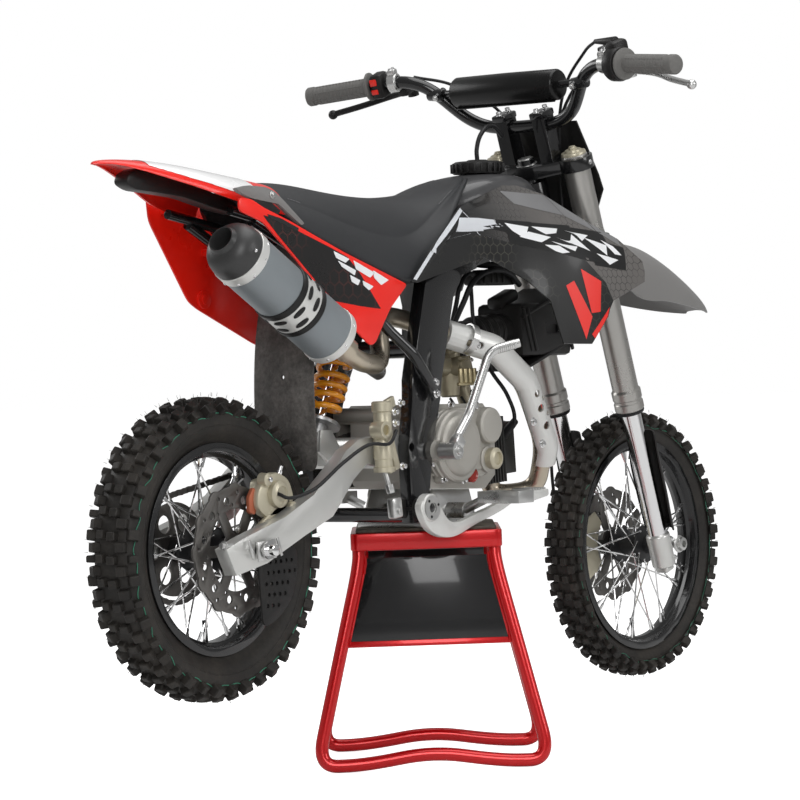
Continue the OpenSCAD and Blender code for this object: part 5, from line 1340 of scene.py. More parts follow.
def make_front_fender():
    rows = []
    for x, half, edge, ridge in FENDER_STATIONS:
        drop = ridge - edge
        arc = [(half, edge), (half * 0.99, edge + drop * 0.4), (half * 0.9, ridge - drop * 0.22), (half * 0.6, ridge - drop * 0.05),
               (half * 0.3, ridge)]
        rows.append([(x, -y, z) for y, z in arc] + [(x, 0, ridge + 1)] + [(x, y, z) for y, z in reversed(arc)])
    fender = faced(skin("front_fender_shell", bike_rows(rows), levels=2), (0, 0, 1))
    shape(fender, "SOLIDIFY", thickness=3 * MM, offset=-1.0)
    mount = rod(on_fork(32, 0, -87), on_fork(32, 0, -112), 34, 40)
    fit(soften(join([fender, mount], "front_fender_shell"), 50), "steering", "grey_plastic", FENDER_GREY, "front_fender")


# ------------------------------------------------------------------ cables that cross the steering
def make_cables():
    brake = [(92, -150, 230), (110, -60, 190), (92, 20, 60), (84, 80, -60), (72, 112, -200), (66, 118, -330), (50, 122, -450),
             (20, 116, -530), (-6, 100, -588), (-11, 64, -610)]
    line = hose("front_brake_hose", [on_fork(*place) for place in brake], 6, sides_detail=4, steps=8)
    fit(line, "steering", "black_rubber", CABLE_BLACK, "steering_cables")
    throttle = [on_grip(-1, GRIP_LENGTH + 78, 16, 34), on_fork(30, -150, 268), on_fork(52, -70, 190), on_fork(46, -34, 60), on_fork(10, -34, -30),
                at(880, -40, 500), at(820, -44, 480)]
    clutch = [on_grip(1, GRIP_LENGTH + 62, 40, -3), on_fork(44, 150, 226), on_fork(56, 60, 150), on_fork(48, 38, 40), on_fork(10, 36, -40),
              at(880, 44, 480), at(800, 60, 440)]
    for name, places, width in (("throttle_cable", throttle, 5.5), ("clutch_cable", clutch, 5.5)):
        line = hose(name, places, width, sides_detail=4, steps=8)
        line.data.materials.clear()
        line.data.materials.append(CABLE_BLACK)
        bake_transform(line)


for build in (make_handlebar, make_grips, make_controls, make_levers, make_bar_clamps, make_fork, make_number_plate, make_front_fender,
              make_cables):
    build()
for done in ("handlebar", "grips", "bar_controls", "hand_levers", "bar_pad", "fork_outers", "fork_inners", "fork_guards", "number_plate",
             "front_fender", "steering_cables"):
    del PLAIN_NODES[done]

# ------------------------------------------------------------------ engine
RIGHT, LEFT, UP = Vector((0, -1, 0)), Vector((0, 1, 0)), Vector((0, 0, 1))
SIGHT_RED = finish("sight_red", (0.3, 0.02, 0.012), 0.2, bump=0.0, coat=0.6)
BRASS = finish("tinted_brass", (0.42, 0.36, 0.22), 0.34, metallic=0.8, bump=0.08, variation=0.2)
COPPER_RED = finish("pad_backing", (0.42, 0.12, 0.06), 0.5, metallic=0.4, bump=0.2)


def make_engine_covers():
    plate = side_slab("cover_plate", [(470, 76), (600, 84), (632, 168), (600, 198), (520, 202)], -88.3, -17.7, 4.0, 16)
    round_cover = lathe("round_cover", at(512, -88.3, 138), RIGHT,
                        [(0, 0.01), (0, 62), (8, 62), (10, 60), (13, 60), (14, 62), (18, 62), (20, 59.5), (22, 59.5), (23, 61), (27, 60), (30, 57),
                         (31, 51), (35, 49), (38, 45), (41, 40), (42, 34), (42, 0.01)], 96, 28)
    cap = lathe("cover_cap", at(600, -88.3, 168), RIGHT, [(0, 0.01), (0, 31), (26, 31), (30, 30), (33, 27), (34, 22), (34, 0.01)], 64)
    lower = lathe("lower_boss", at(600, -88.3, 112), RIGHT, [(0, 0.01), (0, 28), (10, 27), (16, 23), (23, 22), (24, 20), (24, 0.01)], 64)
    boss = lathe("kick_boss", at(455, -88.3, 132), RIGHT, [(0, 0.01), (0, 26), (14, 24), (22, 18), (30, 17), (30, 0.01)], 48)
    panel = side_slab("cover_face", [(536, 92), (596, 98), (620, 162), (592, 188), (548, 192), (566, 150)], -105, -4, 1.6, 10)
    fit(soften(join([plate, round_cover, cap, lower, boss, panel], "clutch_cover_finished"), 30), "chassis", "engine_grey", ENGINE_GREY,
        "clutch_cover")
    filler = lathe("oil_filler", at(604, -110, 113), RIGHT, [(0, 0.01), (0, 17), (4, 18), (14, 18), (17, 15), (18, 11), (13, 10), (13, 0.01)], 32)
    fit(filler, "chassis", "champagne", CHAMPAGNE)
    sight = lathe("oil_sight", at(556, -104, 88), RIGHT, [(0, 0.01), (0, 13), (6, 13), (8, 11), (5, 9), (5, 0.01)], 40)
    fit(sight, "chassis", "black_plastic", SIGHT_RED)
    places = [(590, 181), (610, 152), (535, 80), (616, 100), (480, 84), (505, 206), (462, 190), (446, 110), (572, 200)]
    bolts_at("cover_bolts", "chassis", "steel", CHROME, [at(x, -104, z) for x, z in places], RIGHT, 9, 8)
    left = [lathe("flywheel_cover", at(566, 104, 136), LEFT, [(0, 0.01), (0, 64), (4, 64), (7, 60), (8, 50), (5, 46), (5, 20), (9, 18), (9, 0.01)], 96)]
    fit(soften(join(left, "left_cover_face"), 30), "chassis", "engine_grey", ENGINE_GREY)
    ring_bolts = [at(566 + 55 * math.cos(a), 108, 136 + 55 * math.sin(a)) for a in (0.4, 1.4, 2.5, 3.6, 4.7, 5.6)]
    bolts_at("left_cover_bolts", "chassis", "steel", CHROME, ring_bolts, LEFT, 9, 7)
    for y, sign in ((-89, -1), (85, 1)):
        ribs = [side_slab("rib", [(444, z), (500, z), (500, z + 5), (444, z + 5)], y, sign * 5, 1.2, 2) for z in (90, 178, 194)]
        fit(join(ribs, "case_ribs_right" if sign < 0 else "case_ribs_left"), "chassis", "engine_grey", ENGINE_GREY)
    head = [at(640 + 112, side * 34, 124 + k * 44) for side in (-1, 1) for k in (-0.4, 0.9)]
    bolts_at("head_nuts", "chassis", "steel", STEEL, head, (1, 0, 0.05), 12, 8)
    plug = hose("plug_lead", [at(735, -54, 150), at(728, -74, 170), at(706, -78, 214), at(690, -54, 262), at(684, -30, 330), at(690, -20, 400)], 7)
    fit(plug, "chassis", "black_rubber", CABLE_BLACK)
    cap = rod(at(736, -44, 146), at(731, -74, 172), 17, 24, 13)
    fit(round_edges(cap, 1.5), "chassis", "black_rubber", CABLE_BLACK)


def make_carburettor_details():
    parts = [lathe("top_cap", at(634, -8, 300), UP, [(0, 0.01), (0, 20), (16, 20), (19, 17), (22, 8), (22, 0.01)], 32),
             lathe("float_bowl", at(636, -8, 216), UP, [(0, 0.01), (0, 13), (3, 16), (14, 17), (14, 0.01)], 32),
             turned_block(at(636, -42, 268), (30, 10, 26), 3), rod(at(648, -40, 258), at(648, -66, 254), 7, 16),
             rod(at(624, -40, 280), at(624, -60, 282), 8, 16), rod(at(606, -30, 292), at(640, -40, 300), 5, 12)]
    fit(soften(join(parts, "carburettor_details"), 34), "chassis", "carb_brass", CARB_METAL)
    brass = [rod(at(600 + 13 * k, -58, 240), at(600 + 13 * k, -58, 264), 8, 20) for k in range(4)]
    brass += [rod(at(592, -58, 238), at(652, -58, 238), 6, 12)]
    fit(round_edges(join(brass, "carburettor_jets"), 0.8), "chassis", "carb_brass", BRASS)
    bolts_at("carburettor_screws", "chassis", "steel", CHROME, [at(x, -47, z) for x, z in ((626, 258), (646, 278), (628, 280))], RIGHT, 6, 4)
    drains = []
    for k, (x, z) in enumerate(((628, 214), (644, 216), (656, 226))):
        drains.append(hose("drain", [at(x, -14 - 12 * k, z), at(x - 4, -40 - 8 * k, z - 26), at(x + 22, -62, z - 60), at(x + 20 + 8 * k, -40, 120)], 4.6))
    fit(join(drains, "drain_hoses"), "chassis", "black_rubber", CABLE_BLACK)


def make_airbox():
    low, high = (778, -62, 280), (926, 36, 372)
    body = block(at(*low), at(*high), 9.0)
    cut(body, block(at(848, -70, 318), at(902, -57, 336), 2.0))
    parts = [body]
    for x in (793, 806, 930 - 16):
        parts.append(turned_block(at(x, -62.5, 326), (7, 5, 78), 2.2))
    parts.append(turned_block(at(852, -13, 281), (150, 100, 6), 2.5))
    parts.append(turned_block(at(852, -13, 372), (152, 102, 7), 2.5))
    parts.append(turned_block(at(795, -10, 380), (60, 32, 22), 8))
    fit(soften(join(parts, "airbox_body"), 34), "chassis", "black_plastic", BLACK_PLASTIC, "airbox")
    latch = rod(at(884, -58, 327), at(898, -58, 327), 13, 24)
    fit(round_edges(latch, 1.5), "chassis", "black_plastic", GLOSS_BLACK)
    duct = hose("airbox_duct", [at(664, -6, 313), at(700, -6, 317), at(740, -12, 325), at(782, -14, 326)], 58, sides_detail=10, steps=16)
    parts = [duct, ring(at(668, -6, 313), at(682, -6, 315), 60, 50, 48)]
    for k in range(4):
        parts.append(lathe("fold", at(706 + 17 * k, -8 - 1.5 * k, 318 + 2 * k), (1, -0.07, 0.08), [(-4, 28), (-3, 31.5), (0, 33), (3, 31.5), (4, 28)], 48))
    fit(soften(join(parts, "airbox_duct"), 50), "chassis", "black_plastic", BLACK_PLASTIC)


# ------------------------------------------------------------------ exhaust
PIPE_ROUTE = [(754, 0, 80.5), (756, 0, 44), (812, -56, 50), (790, -90, 128), (716, -103, 240), (640, -96, 296), (550, -54, 326),
              (470, -34, 352), (404, -40, 356), (352, -82, 274), (262, -104, 284), (202, -106, 320)]


def make_exhaust():
    pipe = hose("exhaust_tube", bent([at(*place) for place in PIPE_ROUTE], 34 * MM, 6), 32, sides_detail=7, steps=2)
    collar = [ring(at(753, 0, 82), at(754, 0, 74), 52, 30, 40), ring(at(237, -105, 301), at(214, -106, 315), 41, 31, 40)]
    fit(soften(join([pipe] + collar, "exhaust_tube"), 40), "chassis", "pipe_steel", PIPE_STEEL, "exhaust_pipe")
    source = dress("heat_shield", SHIELD_ALLOY, 0.6)
    for x, z, width in ((727, 217, 13), (747, 209, 10), (741, 192, 14), (763, 183, 10), (761, 162, 14)):
        cut(source, rod(at(x, -165, z), at(x, -104, z), width, 24))
    cut(source, turned_block(at(590, -92, 304), (30, 60, 11), 4, LEFT, Vector((0.25, 0, 1))))
    soften(source, 30)
    bolts_at("shield_bolts", "chassis", "steel", CHROME, [at(596, -98, 302), at(728, -130, 132), at(704, -130, 170)], RIGHT, 11, 5)
    clamp = [ring(at(598, -85, 311), at(588, -81, 315), 52, 46, 40)]
    fit(join(clamp, "shield_clamp"), "chassis", "steel", STEEL)
    backing = side_slab("red_backing", [(774, 212), (788, 214), (804, 156), (798, 152), (784, 176)], -84, -6, 1.5, 4)
    fit(backing, "chassis", "red_plastic", RED_PLASTIC)


# ------------------------------------------------------------------ foot controls
def make_kick_lever():
    route = [at(*place) for place in ((455, -144, 140), (504, -144, 190), (548, -158, 292), (588, -190, 304))]
    arm = hose("kick_lever_arm", bent(route, 16 * MM, 6), 15, sides_detail=6, steps=2)
    hub = [ring(at(455, -124, 132), at(455, -156, 132), 29, 12, 48), turned_block(at(464, -148, 146), (24, 18, 22), 5, LEFT, Vector((1, 0, 1)))]
    start, along = route[2].lerp(route[3], 0.25), (route[3] - route[2]).normalized()
    profile = [(0, 6.6)]
    for k in range(9):
        profile += [(k * 3.6 + 0.4, 8.3), (k * 3.6 + 2.6, 8.3), (k * 3.6 + 3.4, 7.2)]
    profile += [(34, 7), (34, 0.01), (0, 0.01)]
    tip = lathe("tip", start, along, profile, 20, 20)
    fit(soften(join([arm, tip] + hub, "kick_lever_arm"), 34), "chassis", "chrome", LEVER_ALLOY, "kick_lever")
    bolts_at("kick_lever_bolt", "chassis", "steel", STEEL, [at(455, -156, 132)], RIGHT, 14, 5)


def make_brake_pedal():
    arm = [(378, 56), (372, 40), (392, 6), (430, -9), (468, -9), (520, 8), (590, 24), (640, 42), (636, 54), (580, 36), (520, 24), (480, 14),
           (448, 16), (426, 44), (412, 62)]
    pedal = side_slab("pedal_arm", arm, -124, -14, 3.0, 26)
    disc = lathe("pedal_disc", at(400, -122, 42), RIGHT, [(0, 8), (0, 21), (2, 23), (16, 23), (18, 21), (18, 8)], 64)
    pad = side_slab("pedal_pad", [(634, 38), (690, 46), (690, 58), (634, 56)], -124, -44, 2.0, 4)
    fit(round_edges(join([pedal, disc, pad], "brake_pedal_finished"), 0.8), "chassis", "shield_alloy", SHIELD_ALLOY, "brake_pedal")
    centre = ring(at(400, -140.2, 42), at(400, -142.4, 42), 40, 18, 48)
    fit(centre, "chassis", "shield_alloy", STEEL)
    dots = [at(400 + 15 * math.cos(a), -140, 42 + 15 * math.sin(a)) for a in (0.3, 2.3, 4.4)]
    made = [rod(place, place - Vector((0, 0.0032, 0)), 5, 16) for place in dots]
    made += [rod(at(400, -100, 42), at(400, -121, 42), 34, 40), rod(at(400, -100, 42), at(400, -90, 42), 46, 40)]
    fit(round_edges(join(made, "pedal_pivot_details"), 0.6), "chassis", "black_plastic", BLACK_PLASTIC)
    teeth = [turned_block(at(642 + 8 * k, -146, 58.5), (3.4, 40, 4), 0.6) for k in range(6)]
    fit(join(teeth, "pedal_teeth"), "chassis", "steel", STEEL)


def make_rear_brake():
    """The master cylinder on the frame, and the caliper behind its disc."""
    body = lathe("cylinder", at(318, -108, 104), UP, [(0, 0.01), (0, 17), (8, 17), (9, 14.5), (20, 14.5), (22, 16), (66, 16), (68, 14.8), (96, 14.8),
                                                      (98, 17), (112, 17), (114, 14), (114, 0.01)], 48)
    parts = [body, turned_block(at(334, -106, 160), (14, 12, 112), 2), ring(at(302, -104, 172), at(302, -128, 172), 28, 17, 40),
             turned_block(at(346, -102, 214), (22, 8, 18), 2), turned_block(at(346, -102, 112), (22, 8, 18), 2)]
    fit(round_edges(join(parts, "rear_brake_cylinder"), 0.8), "chassis", "champagne", CHAMPAGNE, "rear_master_cylinder")
    fit(rod(at(302, -106, 172), at(302, -125, 172), 17, 32), "chassis", "champagne", BRASS)
    rods = [rod(at(318, -108, 110), at(326, -115, 70), 8, 24), turned_block(at(330, -118, 46), (24, 16, 34), 4, LEFT, Vector((-0.12, 0, 1))),
            rod(at(323, -113, 84), at(326, -115, 70), 15, 6), rod(at(330, -108, 40), at(330, -130, 40), 10, 20)]
    fit(round_edges(join(rods, "brake_pushrod"), 0.7), "chassis", "steel", STEEL)
    heads = [at(x, -120, z) for x, z in ((350, 214), (350, 112), (334, 200), (334, 182))]
    bolts_at("master_cylinder_bolts", "chassis", "steel", CHROME, heads, RIGHT, 9, 8)
    axle = REAR_HUB / MM - BIKE / MM

    def near_hub(x, y, z):
        return at(axle.x + x, y, axle.z + z)

    def hub_slab(name, points, y, depth, bevel, radius):
        return slab(name, [near_hub(x, y, z) for x, z in rounded(points, radius)], (0, depth, 0), bevel)

    parts = [hub_slab("bracket", [(-20, -8), (10, -22), (44, 6), (104, 46), (112, 66), (96, 78), (40, 44), (6, 24), (-16, 12)], -78, -8, 2.0, 10),
             hub_slab("body", [(26, 62), (50, 44), (100, 50), (118, 72), (106, 104), (78, 118), (48, 112), (26, 86)], -68, -18, 5.0, 12),
             hub_slab("bridge", [(52, 70), (98, 60), (112, 82), (90, 108), (60, 106)], -42, -27, 4.0, 8),
             lathe("piston_boss", near_hub(72, -84, 82), RIGHT, [(0, 0.01), (0, 22), (10, 21), (13, 17), (14, 13), (12, 12), (12, 0.01)], 48),
             lathe("slide", near_hub(104, -78, 58), RIGHT, [(0, 0.01), (0, 12), (16, 11), (18, 8), (18, 0.01)], 32),
             lathe("slide", near_hub(46, -78, 106), RIGHT, [(0, 0.01), (0, 11), (14, 10), (16, 7), (16, 0.01)], 32)]
    fit(round_edges(join(parts, "rear_caliper_body"), 0.8), "chassis", "champagne", CHAMPAGNE, "rear_caliper")
    pads = hub_slab("brake_pads", [(16, 56), (30, 52), (38, 84), (28, 96), (16, 80)], -70, -7, 1.5, 4)
    fit(pads, "chassis", "champagne", COPPER_RED)
    bleed = [lathe("bleed_nipple", near_hub(88, -78, 112), (0.3, -0.2, 1), [(0, 0.01), (0, 5), (6, 5), (7, 3.4), (14, 3.4), (15, 2), (15, 0.01)], 16)]
    fit(join(bleed, "bleed_nipple"), "chassis", "steel", CHROME)
    bolts_at("caliper_bolts", "chassis", "steel", CHROME, [near_hub(x, -92, z) for x, z in ((104, 58), (46, 106))], RIGHT, 9, 6)


def make_swingarm_details():
    axle = REAR_HUB / MM - BIKE / MM
    for side, word in ((-1, "right"), (1, "left")):
        parts = []
        for x in (-34, 34):
            parts.append(turned_block(at(axle.x + x, side * 119.5, axle.z + 3), (5, 2.4, 30), 0.8))
        parts.append(turned_block(at(axle.x + 2, side * 120.5, axle.z), (44, 2.4, 30), 1.2, LEFT, Vector((-0.08, 0, 1))))
        parts.append(rod(at(-84, side * 108, axle.z + 12), at(-66, side * 108, axle.z + 12), 8, 20))
        parts.append(bolt(at(-84, side * 108, axle.z + 12), (-1, 0, 0), 11, 7))
        fit(join(parts, "axle_adjuster_" + word), "chassis", "steel", STEEL)
        end = lathe("axle_end_" + word, at(axle.x, side * 126, axle.z), (0, side, 0), [(0, 0.01), (0, 14), (3, 14), (3, 9), (14, 8.4), (15, 6), (15, 0.01)], 40)
        fit(end, "chassis", "steel", CHROME)
    pivot = [at(413, side * 122, 0) for side in (-1, 1)]
    places = [(412, 29), (452, 192)]
    made = [bolt(at(x, side * 102, z), (0, side, 0), 17, 9) for x, z in places for side in (-1, 1)]
    made += [bolt(at(x, -126, z), RIGHT, 11, 6) for x, z in ((438, 244), (440, 226))]
    made += [bolt(at(x, 126, z), LEFT, 11, 6) for x, z in ((438, 244), (440, 226))]
    fit(join(made, "frame_bolts"), "chassis", "steel", CHROME)


# ------------------------------------------------------------------ shock
SHOCK_LOW, SHOCK_TOP = at(279, 0, 156), at(372, 0, 352)


def make_shock():
    along = (SHOCK_TOP - SHOCK_LOW).normalized()
    length = (SHOCK_TOP - SHOCK_LOW).length / MM
    shaft = lathe("shaft", SHOCK_LOW, along, [(8, 0.01), (8, 6), (length - 10, 6), (length - 10, 0.01)], 40)
    fit(shaft, "chassis", "chrome", CHROME)
    parts = [lathe("foot", SHOCK_LOW, along, [(12, 0.01), (12, 14), (28, 14), (29, 33), (34, 33.5), (36, 31), (36, 0.01)], 64),
             lathe("head", SHOCK_LOW, along, [(147, 0.01), (147, 31), (149, 33.5), (154, 33), (155, 21), (160, 20), (length - 8, 20), (length - 6, 16),
                                              (length - 6, 0.01)], 64),
             lathe("thread", SHOCK_LOW, along, [(155, 21)] + [(156 + 1.5 * k, 21.5 + (k % 2)) for k in range(16)] + [(180, 20), (155, 20)], 48)]
    for place in (SHOCK_LOW, SHOCK_TOP):
        parts.append(ring(place - LEFT * 0.0165, place + LEFT * 0.0165, 28, 11, 48))
    reservoir = at(320, -40, 300)
    outward_way = at(410, -36, 262) - reservoir
    full = outward_way.length / MM
    parts.append(lathe("reservoir", reservoir, outward_way, [(0, 0.01), (0, 10), (2, 13), (full - 3, 13), (full, 11), (full + 2, 8), (full + 2, 0.01)], 48))
    parts.append(rod(at(352, -6, 306), at(354, -38, 287), 16, 24))
    fit(soften(join(parts, "shock_finished"), 34), "chassis", "shock_alloy", SHOCK_ALLOY, "shock_body")
    steps, turns, low, high = 100, 5, 41.5, 142.5
    side = along.orthogonal().normalized()
    ahead = Vector((along.z, 0, -along.x))
    places = []
    for i in range(steps + 1):
        t = i / steps
        turn = math.tau * turns * t
        lift = low + (high - low) * (t + 0.035 * math.sin(math.tau * t))
        places.append(SHOCK_LOW + (along * lift + ahead * 25 * math.cos(turn) + Vector((0, 1, 0)) * 25 * math.sin(turn)) * MM)
    fit(hose("coil_spring", places, 10, sides_detail=5, steps=2), "chassis", "spring_orange", SPRING_ORANGE, "shock_spring")


# ------------------------------------------------------------------ chain
def make_chain():
    """Links laid round the two sprockets, each with two plates and a roller."""
    axle = REAR_HUB / MM - BIKE / MM
    big, small, far = 84, 30, Vector((470 - axle.x, 0, 132 - axle.z))
    slope = math.atan2(far.z, far.x)
    lean = math.acos((big - small) / far.length)
    path = []
    start, end = slope + lean, slope + math.tau - lean
    for k in range(61):
        turn = start + (end - start) * k / 60
        path.append(Vector((math.cos(turn), 0, math.sin(turn))) * big)
    for k in range(25):
        turn = end + (start + math.tau - end) * k / 24
        path.append(far + Vector((math.cos(turn), 0, math.sin(turn))) * small)
    path.append(path[0])
    lengths = [(b - a).length for a, b in zip(path, path[1:])]
    total = sum(lengths)
    count = 2 * round(total / 12.7 / 2)

    def spot(distance):
        distance %= total
        for a, b, length in zip(path, path[1:], lengths):
            if distance <= length:
                return a.lerp(b, distance / length) if length else a
            distance -= length
        return path[0]

    plates = []
    bpy.ops.mesh.primitive_cylinder_add(vertices=12, radius=1, depth=1)
    disc = bpy.context.object
    for k in range(count):
        a, b = spot(total * k / count), spot(total * (k + 1) / count)
        middle, way = (a + b) / 2, (b - a).normalized()
        across = Vector((0, 1, 0))
        lift = across.cross(way)
        wide = 3.9 if k % 2 else 2.7
        for side in (-1, 1):
            frame_of = Matrix((way * 0.0098, lift * 0.0044, across * 0.0011)).transposed().to_4x4()
            plates.append(copy_of(disc, Matrix.Translation(at(axle.x, 66 + side * wide, axle.z) + middle * MM) @ frame_of))
        roller = Matrix((way * 0.0038, lift * 0.0038, across * 0.0088)).transposed().to_4x4()
        plates.append(copy_of(disc, Matrix.Translation(at(axle.x, 66, axle.z) + a * MM) @ roller))
    bpy.data.objects.remove(disc)
    fit(soften(join(plates, "chain_links"), 40), "chassis", "dark_steel", DARK_STEEL, "chain")


def make_subframe():
    made = []
    for side in (-1, 1):
        strut = [at(x, side * y, z) for x, y, z in ((440, 121.3, 234), (389, 121.3, 292), (352, 98, 334), (300, 82, 395), (60, 66, 508))]
        rail = [at(x, side * y, z) for x, y, z in ((462, 62, 440), (300, 66, 470), (10, 64, 524))]
        made.append(hose("strut", bent(strut, 30 * MM, 4), 17, sides_detail=5, steps=2))
        made.append(hose("rail", bent(rail, 30 * MM, 4), 15, sides_detail=5, steps=2))
        made.append(turned_block(at(440, side * 121, 234), (26, 9, 34), 4, LEFT, Vector((-0.6, 0, 1))))
    fit(join(made, "subframe_tubes"), "chassis", "frame_black", FRAME_BLACK)


for build in (make_engine_covers, make_carburettor_details, make_airbox, make_exhaust, make_kick_lever, make_brake_pedal, make_rear_brake,
              make_swingarm_details, make_shock, make_chain, make_subframe):
    build()
for done in ("clutch_cover", "airbox", "exhaust_pipe", "heat_shield", "kick_lever", "brake_pedal", "rear_caliper", "rear_master_cylinder",
             "shock_body", "shock_spring", "chain"):
    del PLAIN_NODES[done]

# ------------------------------------------------------------------ stand
STAND_HEIGHT, STAND_TOP, STAND_SPREAD, STAND_TUBE = 395, 250, 310, 22
STAND_PLACE, STAND_TURN = at(565, 0, 0), math.radians(-52.5)
PAN_HEIGHT, PAD_THICKNESS, LEG_SLOPE = 28, 6, 0.24
LOOP_TILT = math.atan((STAND_SPREAD - STAND_TOP + 40) / 2 / (STAND_HEIGHT - 40))
LOOP_RISE = (STAND_HEIGHT - 10) / math.cos(LOOP_TILT)
LEG_KINK = LOOP_RISE - 48
LEG_TOP = STAND_TOP / 2 - STAND_TUBE / 2 - 2
FOOT_LEVEL = STAND_TUBE / 2 / math.cos(LOOP_TILT)
FOOT_REACH = LEG_TOP + LEG_SLOPE * (LEG_KINK - FOOT_LEVEL)


def on_stand(u, v, w, side=1):
    """A place in a leg loop's own plane: across, up the loop, and out from it; side picks the loop."""
    lean = Vector((u, -STAND_SPREAD / 2 + v * math.sin(LOOP_TILT) - w * math.cos(LOOP_TILT), v * math.cos(LOOP_TILT) + w * math.sin(LOOP_TILT)))
    lean.y *= side
    turned = Matrix.Rotation(STAND_TURN, 3, "Z") @ lean
    return Vector((STAND_PLACE.x, STAND_PLACE.y, 0)) + turned * MM


def make_stand():
    tubes, panels, flanges, welds = [], [], [], []
    for side in (1, -1):
        flat, top = FOOT_REACH - 75, LOOP_RISE - PAD_THICKNESS - 8
        route = [(-LEG_TOP, top), (-LEG_TOP, LEG_KINK), (-FOOT_REACH, FOOT_LEVEL), (-flat, FOOT_LEVEL), (0, FOOT_LEVEL + 18), (flat, FOOT_LEVEL),
                 (FOOT_REACH, FOOT_LEVEL), (LEG_TOP, LEG_KINK), (LEG_TOP, top)]
        tubes.append(hose("loop", bent([on_stand(u, v, 0, side) for u, v in route], 48 * MM, 7), STAND_TUBE, sides_detail=8, steps=2))
        panel_top, panel_low = LOOP_RISE - PAD_THICKNESS - PAN_HEIGHT - 4, LOOP_RISE - 178
        inset = STAND_TUBE / 2 + 1.2
        low_half = LEG_TOP + LEG_SLOPE * (LEG_KINK - panel_low) - inset
        high_half = LEG_TOP - inset
        outline = [(-low_half, panel_low), (low_half, panel_low), (high_half, LEG_KINK), (high_half, panel_top), (-high_half, panel_top),
                   (-high_half, LEG_KINK)]
        face = on_stand(0, 100, 1.5, side) - on_stand(0, 100, -1.5, side)
        panels.append(slab("panel", [on_stand(u, v, -1.5, side) for u, v in outline], face / MM, 0.5))
        lip = [(-low_half - 6, panel_low - 7), (low_half + 6, panel_low - 7), (low_half + 4, panel_low + 3), (-low_half - 4, panel_low + 3)]
        flanges.append(slab("lip", [on_stand(u, v, -3, side) for u, v in lip], face / MM * 2, 1.2))
        for end in (-1, 1):
            flanges.append(slab("edge", [on_stand(end * u, v, -2.4, side) for u, v in ((low_half - 1, panel_low), (low_half + 6, panel_low),
                                         (high_half + 6, LEG_KINK), (high_half + 6, panel_top), (high_half - 1, panel_top), (high_half - 1, LEG_KINK))],
                                face / MM * 1.6, 0.8))
            for v in (panel_low + 6, LEG_KINK - 8, panel_top - 4):
                half = (LEG_TOP + LEG_SLOPE * max(0, LEG_KINK - v)) - inset + 2
                welds.append(rod(on_stand(end * half, v - 8, 2.5, side), on_stand(end * half, v + 8, 2.5, side), 5, 10))
    half, low, high = STAND_TOP / 2, STAND_HEIGHT - PAD_THICKNESS - PAN_HEIGHT, STAND_HEIGHT - PAD_THICKNESS
    corners = [(-half, -half), (half, -half), (half, half), (-half, half)]

    def level(points, z, radius):
        turned = [Matrix.Rotation(STAND_TURN, 3, "Z") @ Vector((u, v, 0)) for u, v in points]
        return [Vector((STAND_PLACE.x, STAND_PLACE.y, z * MM)) + point * MM for point in rounded(turned, radius)]

    pan = slab("pan", level(corners, low, 12), (0, 0, PAN_HEIGHT), 2.0, 3)
    hollow = slab("hollow", level([(u * 0.968, v * 0.968) for u, v in corners], low - 4, 8), (0, 0, PAN_HEIGHT + 1), 0)
    cut(pan, hollow)
    rim = slab("rim", level([(u * 0.985, v * 0.985) for u, v in corners], low - 0.5, 10), (0, 0, 2.5), 0)
    cut(rim, slab("hole", level([(u * 0.9, v * 0.9) for u, v in corners], low - 4, 8), (0, 0, 12), 0))
    fit(soften(join(tubes + [pan, rim] + flanges + welds, "stand_tubes_and_pan"), 34), "chassis", "stand_red", STAND_RED, "stand_frame")
    fit(join(panels, "stand_sheet_panels"), "chassis", "black_gloss", GLOSS_BLACK, "stand_panels")
    mat = slab("pad", level([(u * 0.93, v * 0.93) for u, v in corners], high, 10), (0, 0, PAD_THICKNESS - 0.2), 2.0, 3)
    rivets = [lathe("rivet", level([(u * 0.8, v * 0.8)] * 3, high + 5.6, 0)[0], UP, [(0, 0.01), (0, 6), (0.8, 5), (1, 0.01)], 20) for u, v in corners]
    fit(join([mat] + rivets, "stand_rubber_mat"), "chassis", "black_rubber", RUBBER_PAD, "stand_pad")


make_stand()
for done in ("stand_frame", "stand_panels", "stand_pad"):
    del PLAIN_NODES[done]

# ------------------------------------------------------------------ small things on the tyres
TYRE_MARK = finish("tyre_mark_green", (0.05, 0.22, 0.14), 0.6, bump=0.1)


def make_moulding_hairs(side, hub, radius, width, pitches):
    """The fine rubber hairs left on a new tyre's blocks."""
    half, base, step = width / 2, radius - 12, math.tau / pitches
    bpy.ops.mesh.primitive_cone_add(vertices=4, radius1=0.0005, radius2=0.0002, depth=0.006)
    hair = bpy.context.object
    made = []
    for i in range(pitches):
        for way in (-1, 1):
            for lift, across, offset, tilt, size in ((base + 11, 0.23, 0.04, 5, 7), (base + 9, 0.56, 0.5, 24, 7), (base, 0.86, 0.05, 52, 8)):
                spot = round_wheel(hub, lift, way * half * across, (i + offset) * step, way * tilt)
                push = Vector((random.choice((-size, size)), random.uniform(-6, 6), 3 if across < 0.8 else 4)) * MM
                made.append(copy_of(hair, spot @ Matrix.Translation(push)))
    bpy.data.objects.remove(hair)
    fit(join(made, side + "_tyre_hairs"), side + "_wheel", "tyre_rubber", TYRE_RUBBER)


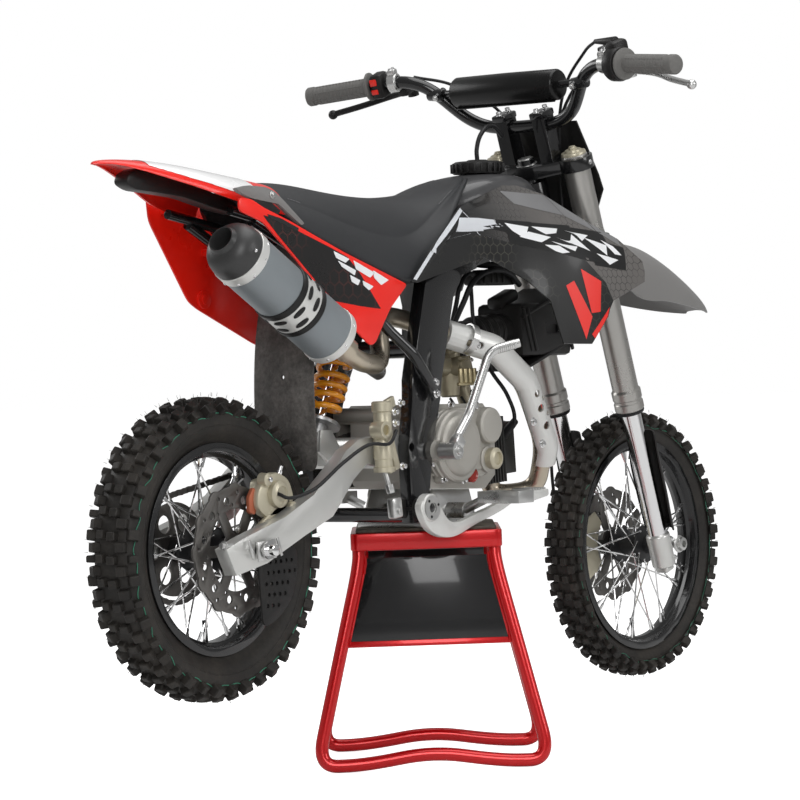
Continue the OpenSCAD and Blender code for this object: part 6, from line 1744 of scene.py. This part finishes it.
def make_tyre_mark(side, hub, radius, width, waves):
    """A thin painted line that wanders round the shoulder."""
    carcass = bpy.data.objects[side + "_tyre_carcass"]
    places = []
    for i in range(241):
        turn = math.tau * i / 240
        reach = radius - 27 + 2.6 * math.sin(waves * turn) + 1.4 * math.sin(2.3 * waves * turn)
        place = hub + Vector((math.cos(turn) * reach, -width / 2, math.sin(turn) * reach)) * MM
        _, spot, normal, _ = carcass.closest_point_on_mesh(place)
        places.append(spot + normal * 0.5 * MM)
    line = hose(side + "_tyre_line", places, 1.5, sides_detail=1, steps=2)
    fit(line, side + "_wheel", "tyre_rubber", TYRE_MARK)


for side, (hub, radius, width, rim_r, rim_w, hub_half, flange) in WHEELS.items():
    make_moulding_hairs(side, hub, radius, width, 40 if side == "rear" else 46)
    make_tyre_mark(side, hub, radius, width, 17)


# ------------------------------------------------------------------ rims, discs and sprocket
def make_rim_details():
    for side, (hub, radius, width, rim_r, rim_w, hub_half, flange) in WHEELS.items():
        valve = [rod(hub + Vector((0, 6, -(rim_r - 14))) * MM, hub + Vector((0, 8, -(rim_r - 46))) * MM, 6, 16),
                 rod(hub + Vector((0, 8, -(rim_r - 44))) * MM, hub + Vector((0, 9, -(rim_r - 56))) * MM, 8.5, 16)]
        fit(round_edges(join(valve, side + "_valve"), 0.6), side + "_wheel", "black_rubber", CABLE_BLACK)
    heads = [REAR_HUB + Vector((31 * math.cos(k * math.tau / 4), -64, 31 * math.sin(k * math.tau / 4))) * MM for k in range(4)]
    made = [bolt(place, RIGHT, 8, 4) for place in heads]
    fit(join(made, "rear_disc_bolts"), "rear_wheel", "steel", STEEL)
    heads = [REAR_HUB + Vector((33 * math.cos(k * math.tau / 4), 70, 33 * math.sin(k * math.tau / 4))) * MM for k in range(4)]
    made = [bolt(place, LEFT, 9, 5) for place in heads]
    fit(join(made, "sprocket_bolts"), "rear_wheel", "steel", STEEL)
    heads = [FRONT_HUB + Vector((30 * math.cos(k * math.tau / 4), 50, 30 * math.sin(k * math.tau / 4))) * MM for k in range(4)]
    made = [bolt(place, LEFT, 8, 4) for place in heads]
    fit(join(made, "front_disc_bolts"), "front_wheel", "steel", STEEL)


make_rim_details()


def make_under_tank_parts():
    """The ignition coil over the airbox and the loom that runs back from it."""
    coil = block(at(700, -34, 404), at(806, 4, 428), 5)
    feet = [rod(at(x, -38, 412), at(x, 6, 412), 13, 20) for x in (712, 794)]
    ribs = [block(at(x, -36, 408), at(x + 5, 6, 431), 1.2) for x in (730, 746, 762)]
    fit(join([coil] + feet + ribs, "ignition_coil"), "chassis", "black_plastic", BLACK_PLASTIC)
    routes = [("coil_lead", 8, [(704, -24, 418), (676, -26, 424), (654, -24, 404), (646, -20, 372), (640, -14, 340)]),
              ("loom_tube", 13, [(640, -8, 440), (672, -12, 446), (730, -16, 440), (800, -20, 436), (838, -22, 424)]),
              ("breather_hose", 10, [(638, -14, 330), (650, -32, 374), (668, -42, 410), (712, -46, 428), (768, -44, 424), (812, -34, 404)])]
    for name, width, places in routes:
        fit(hose(name, [at(*place) for place in places], width), "chassis", "black_rubber", CABLE_BLACK)


make_under_tank_parts()

for node, (material, bevel) in PLAIN_NODES.items():
    dress(node, material, bevel)
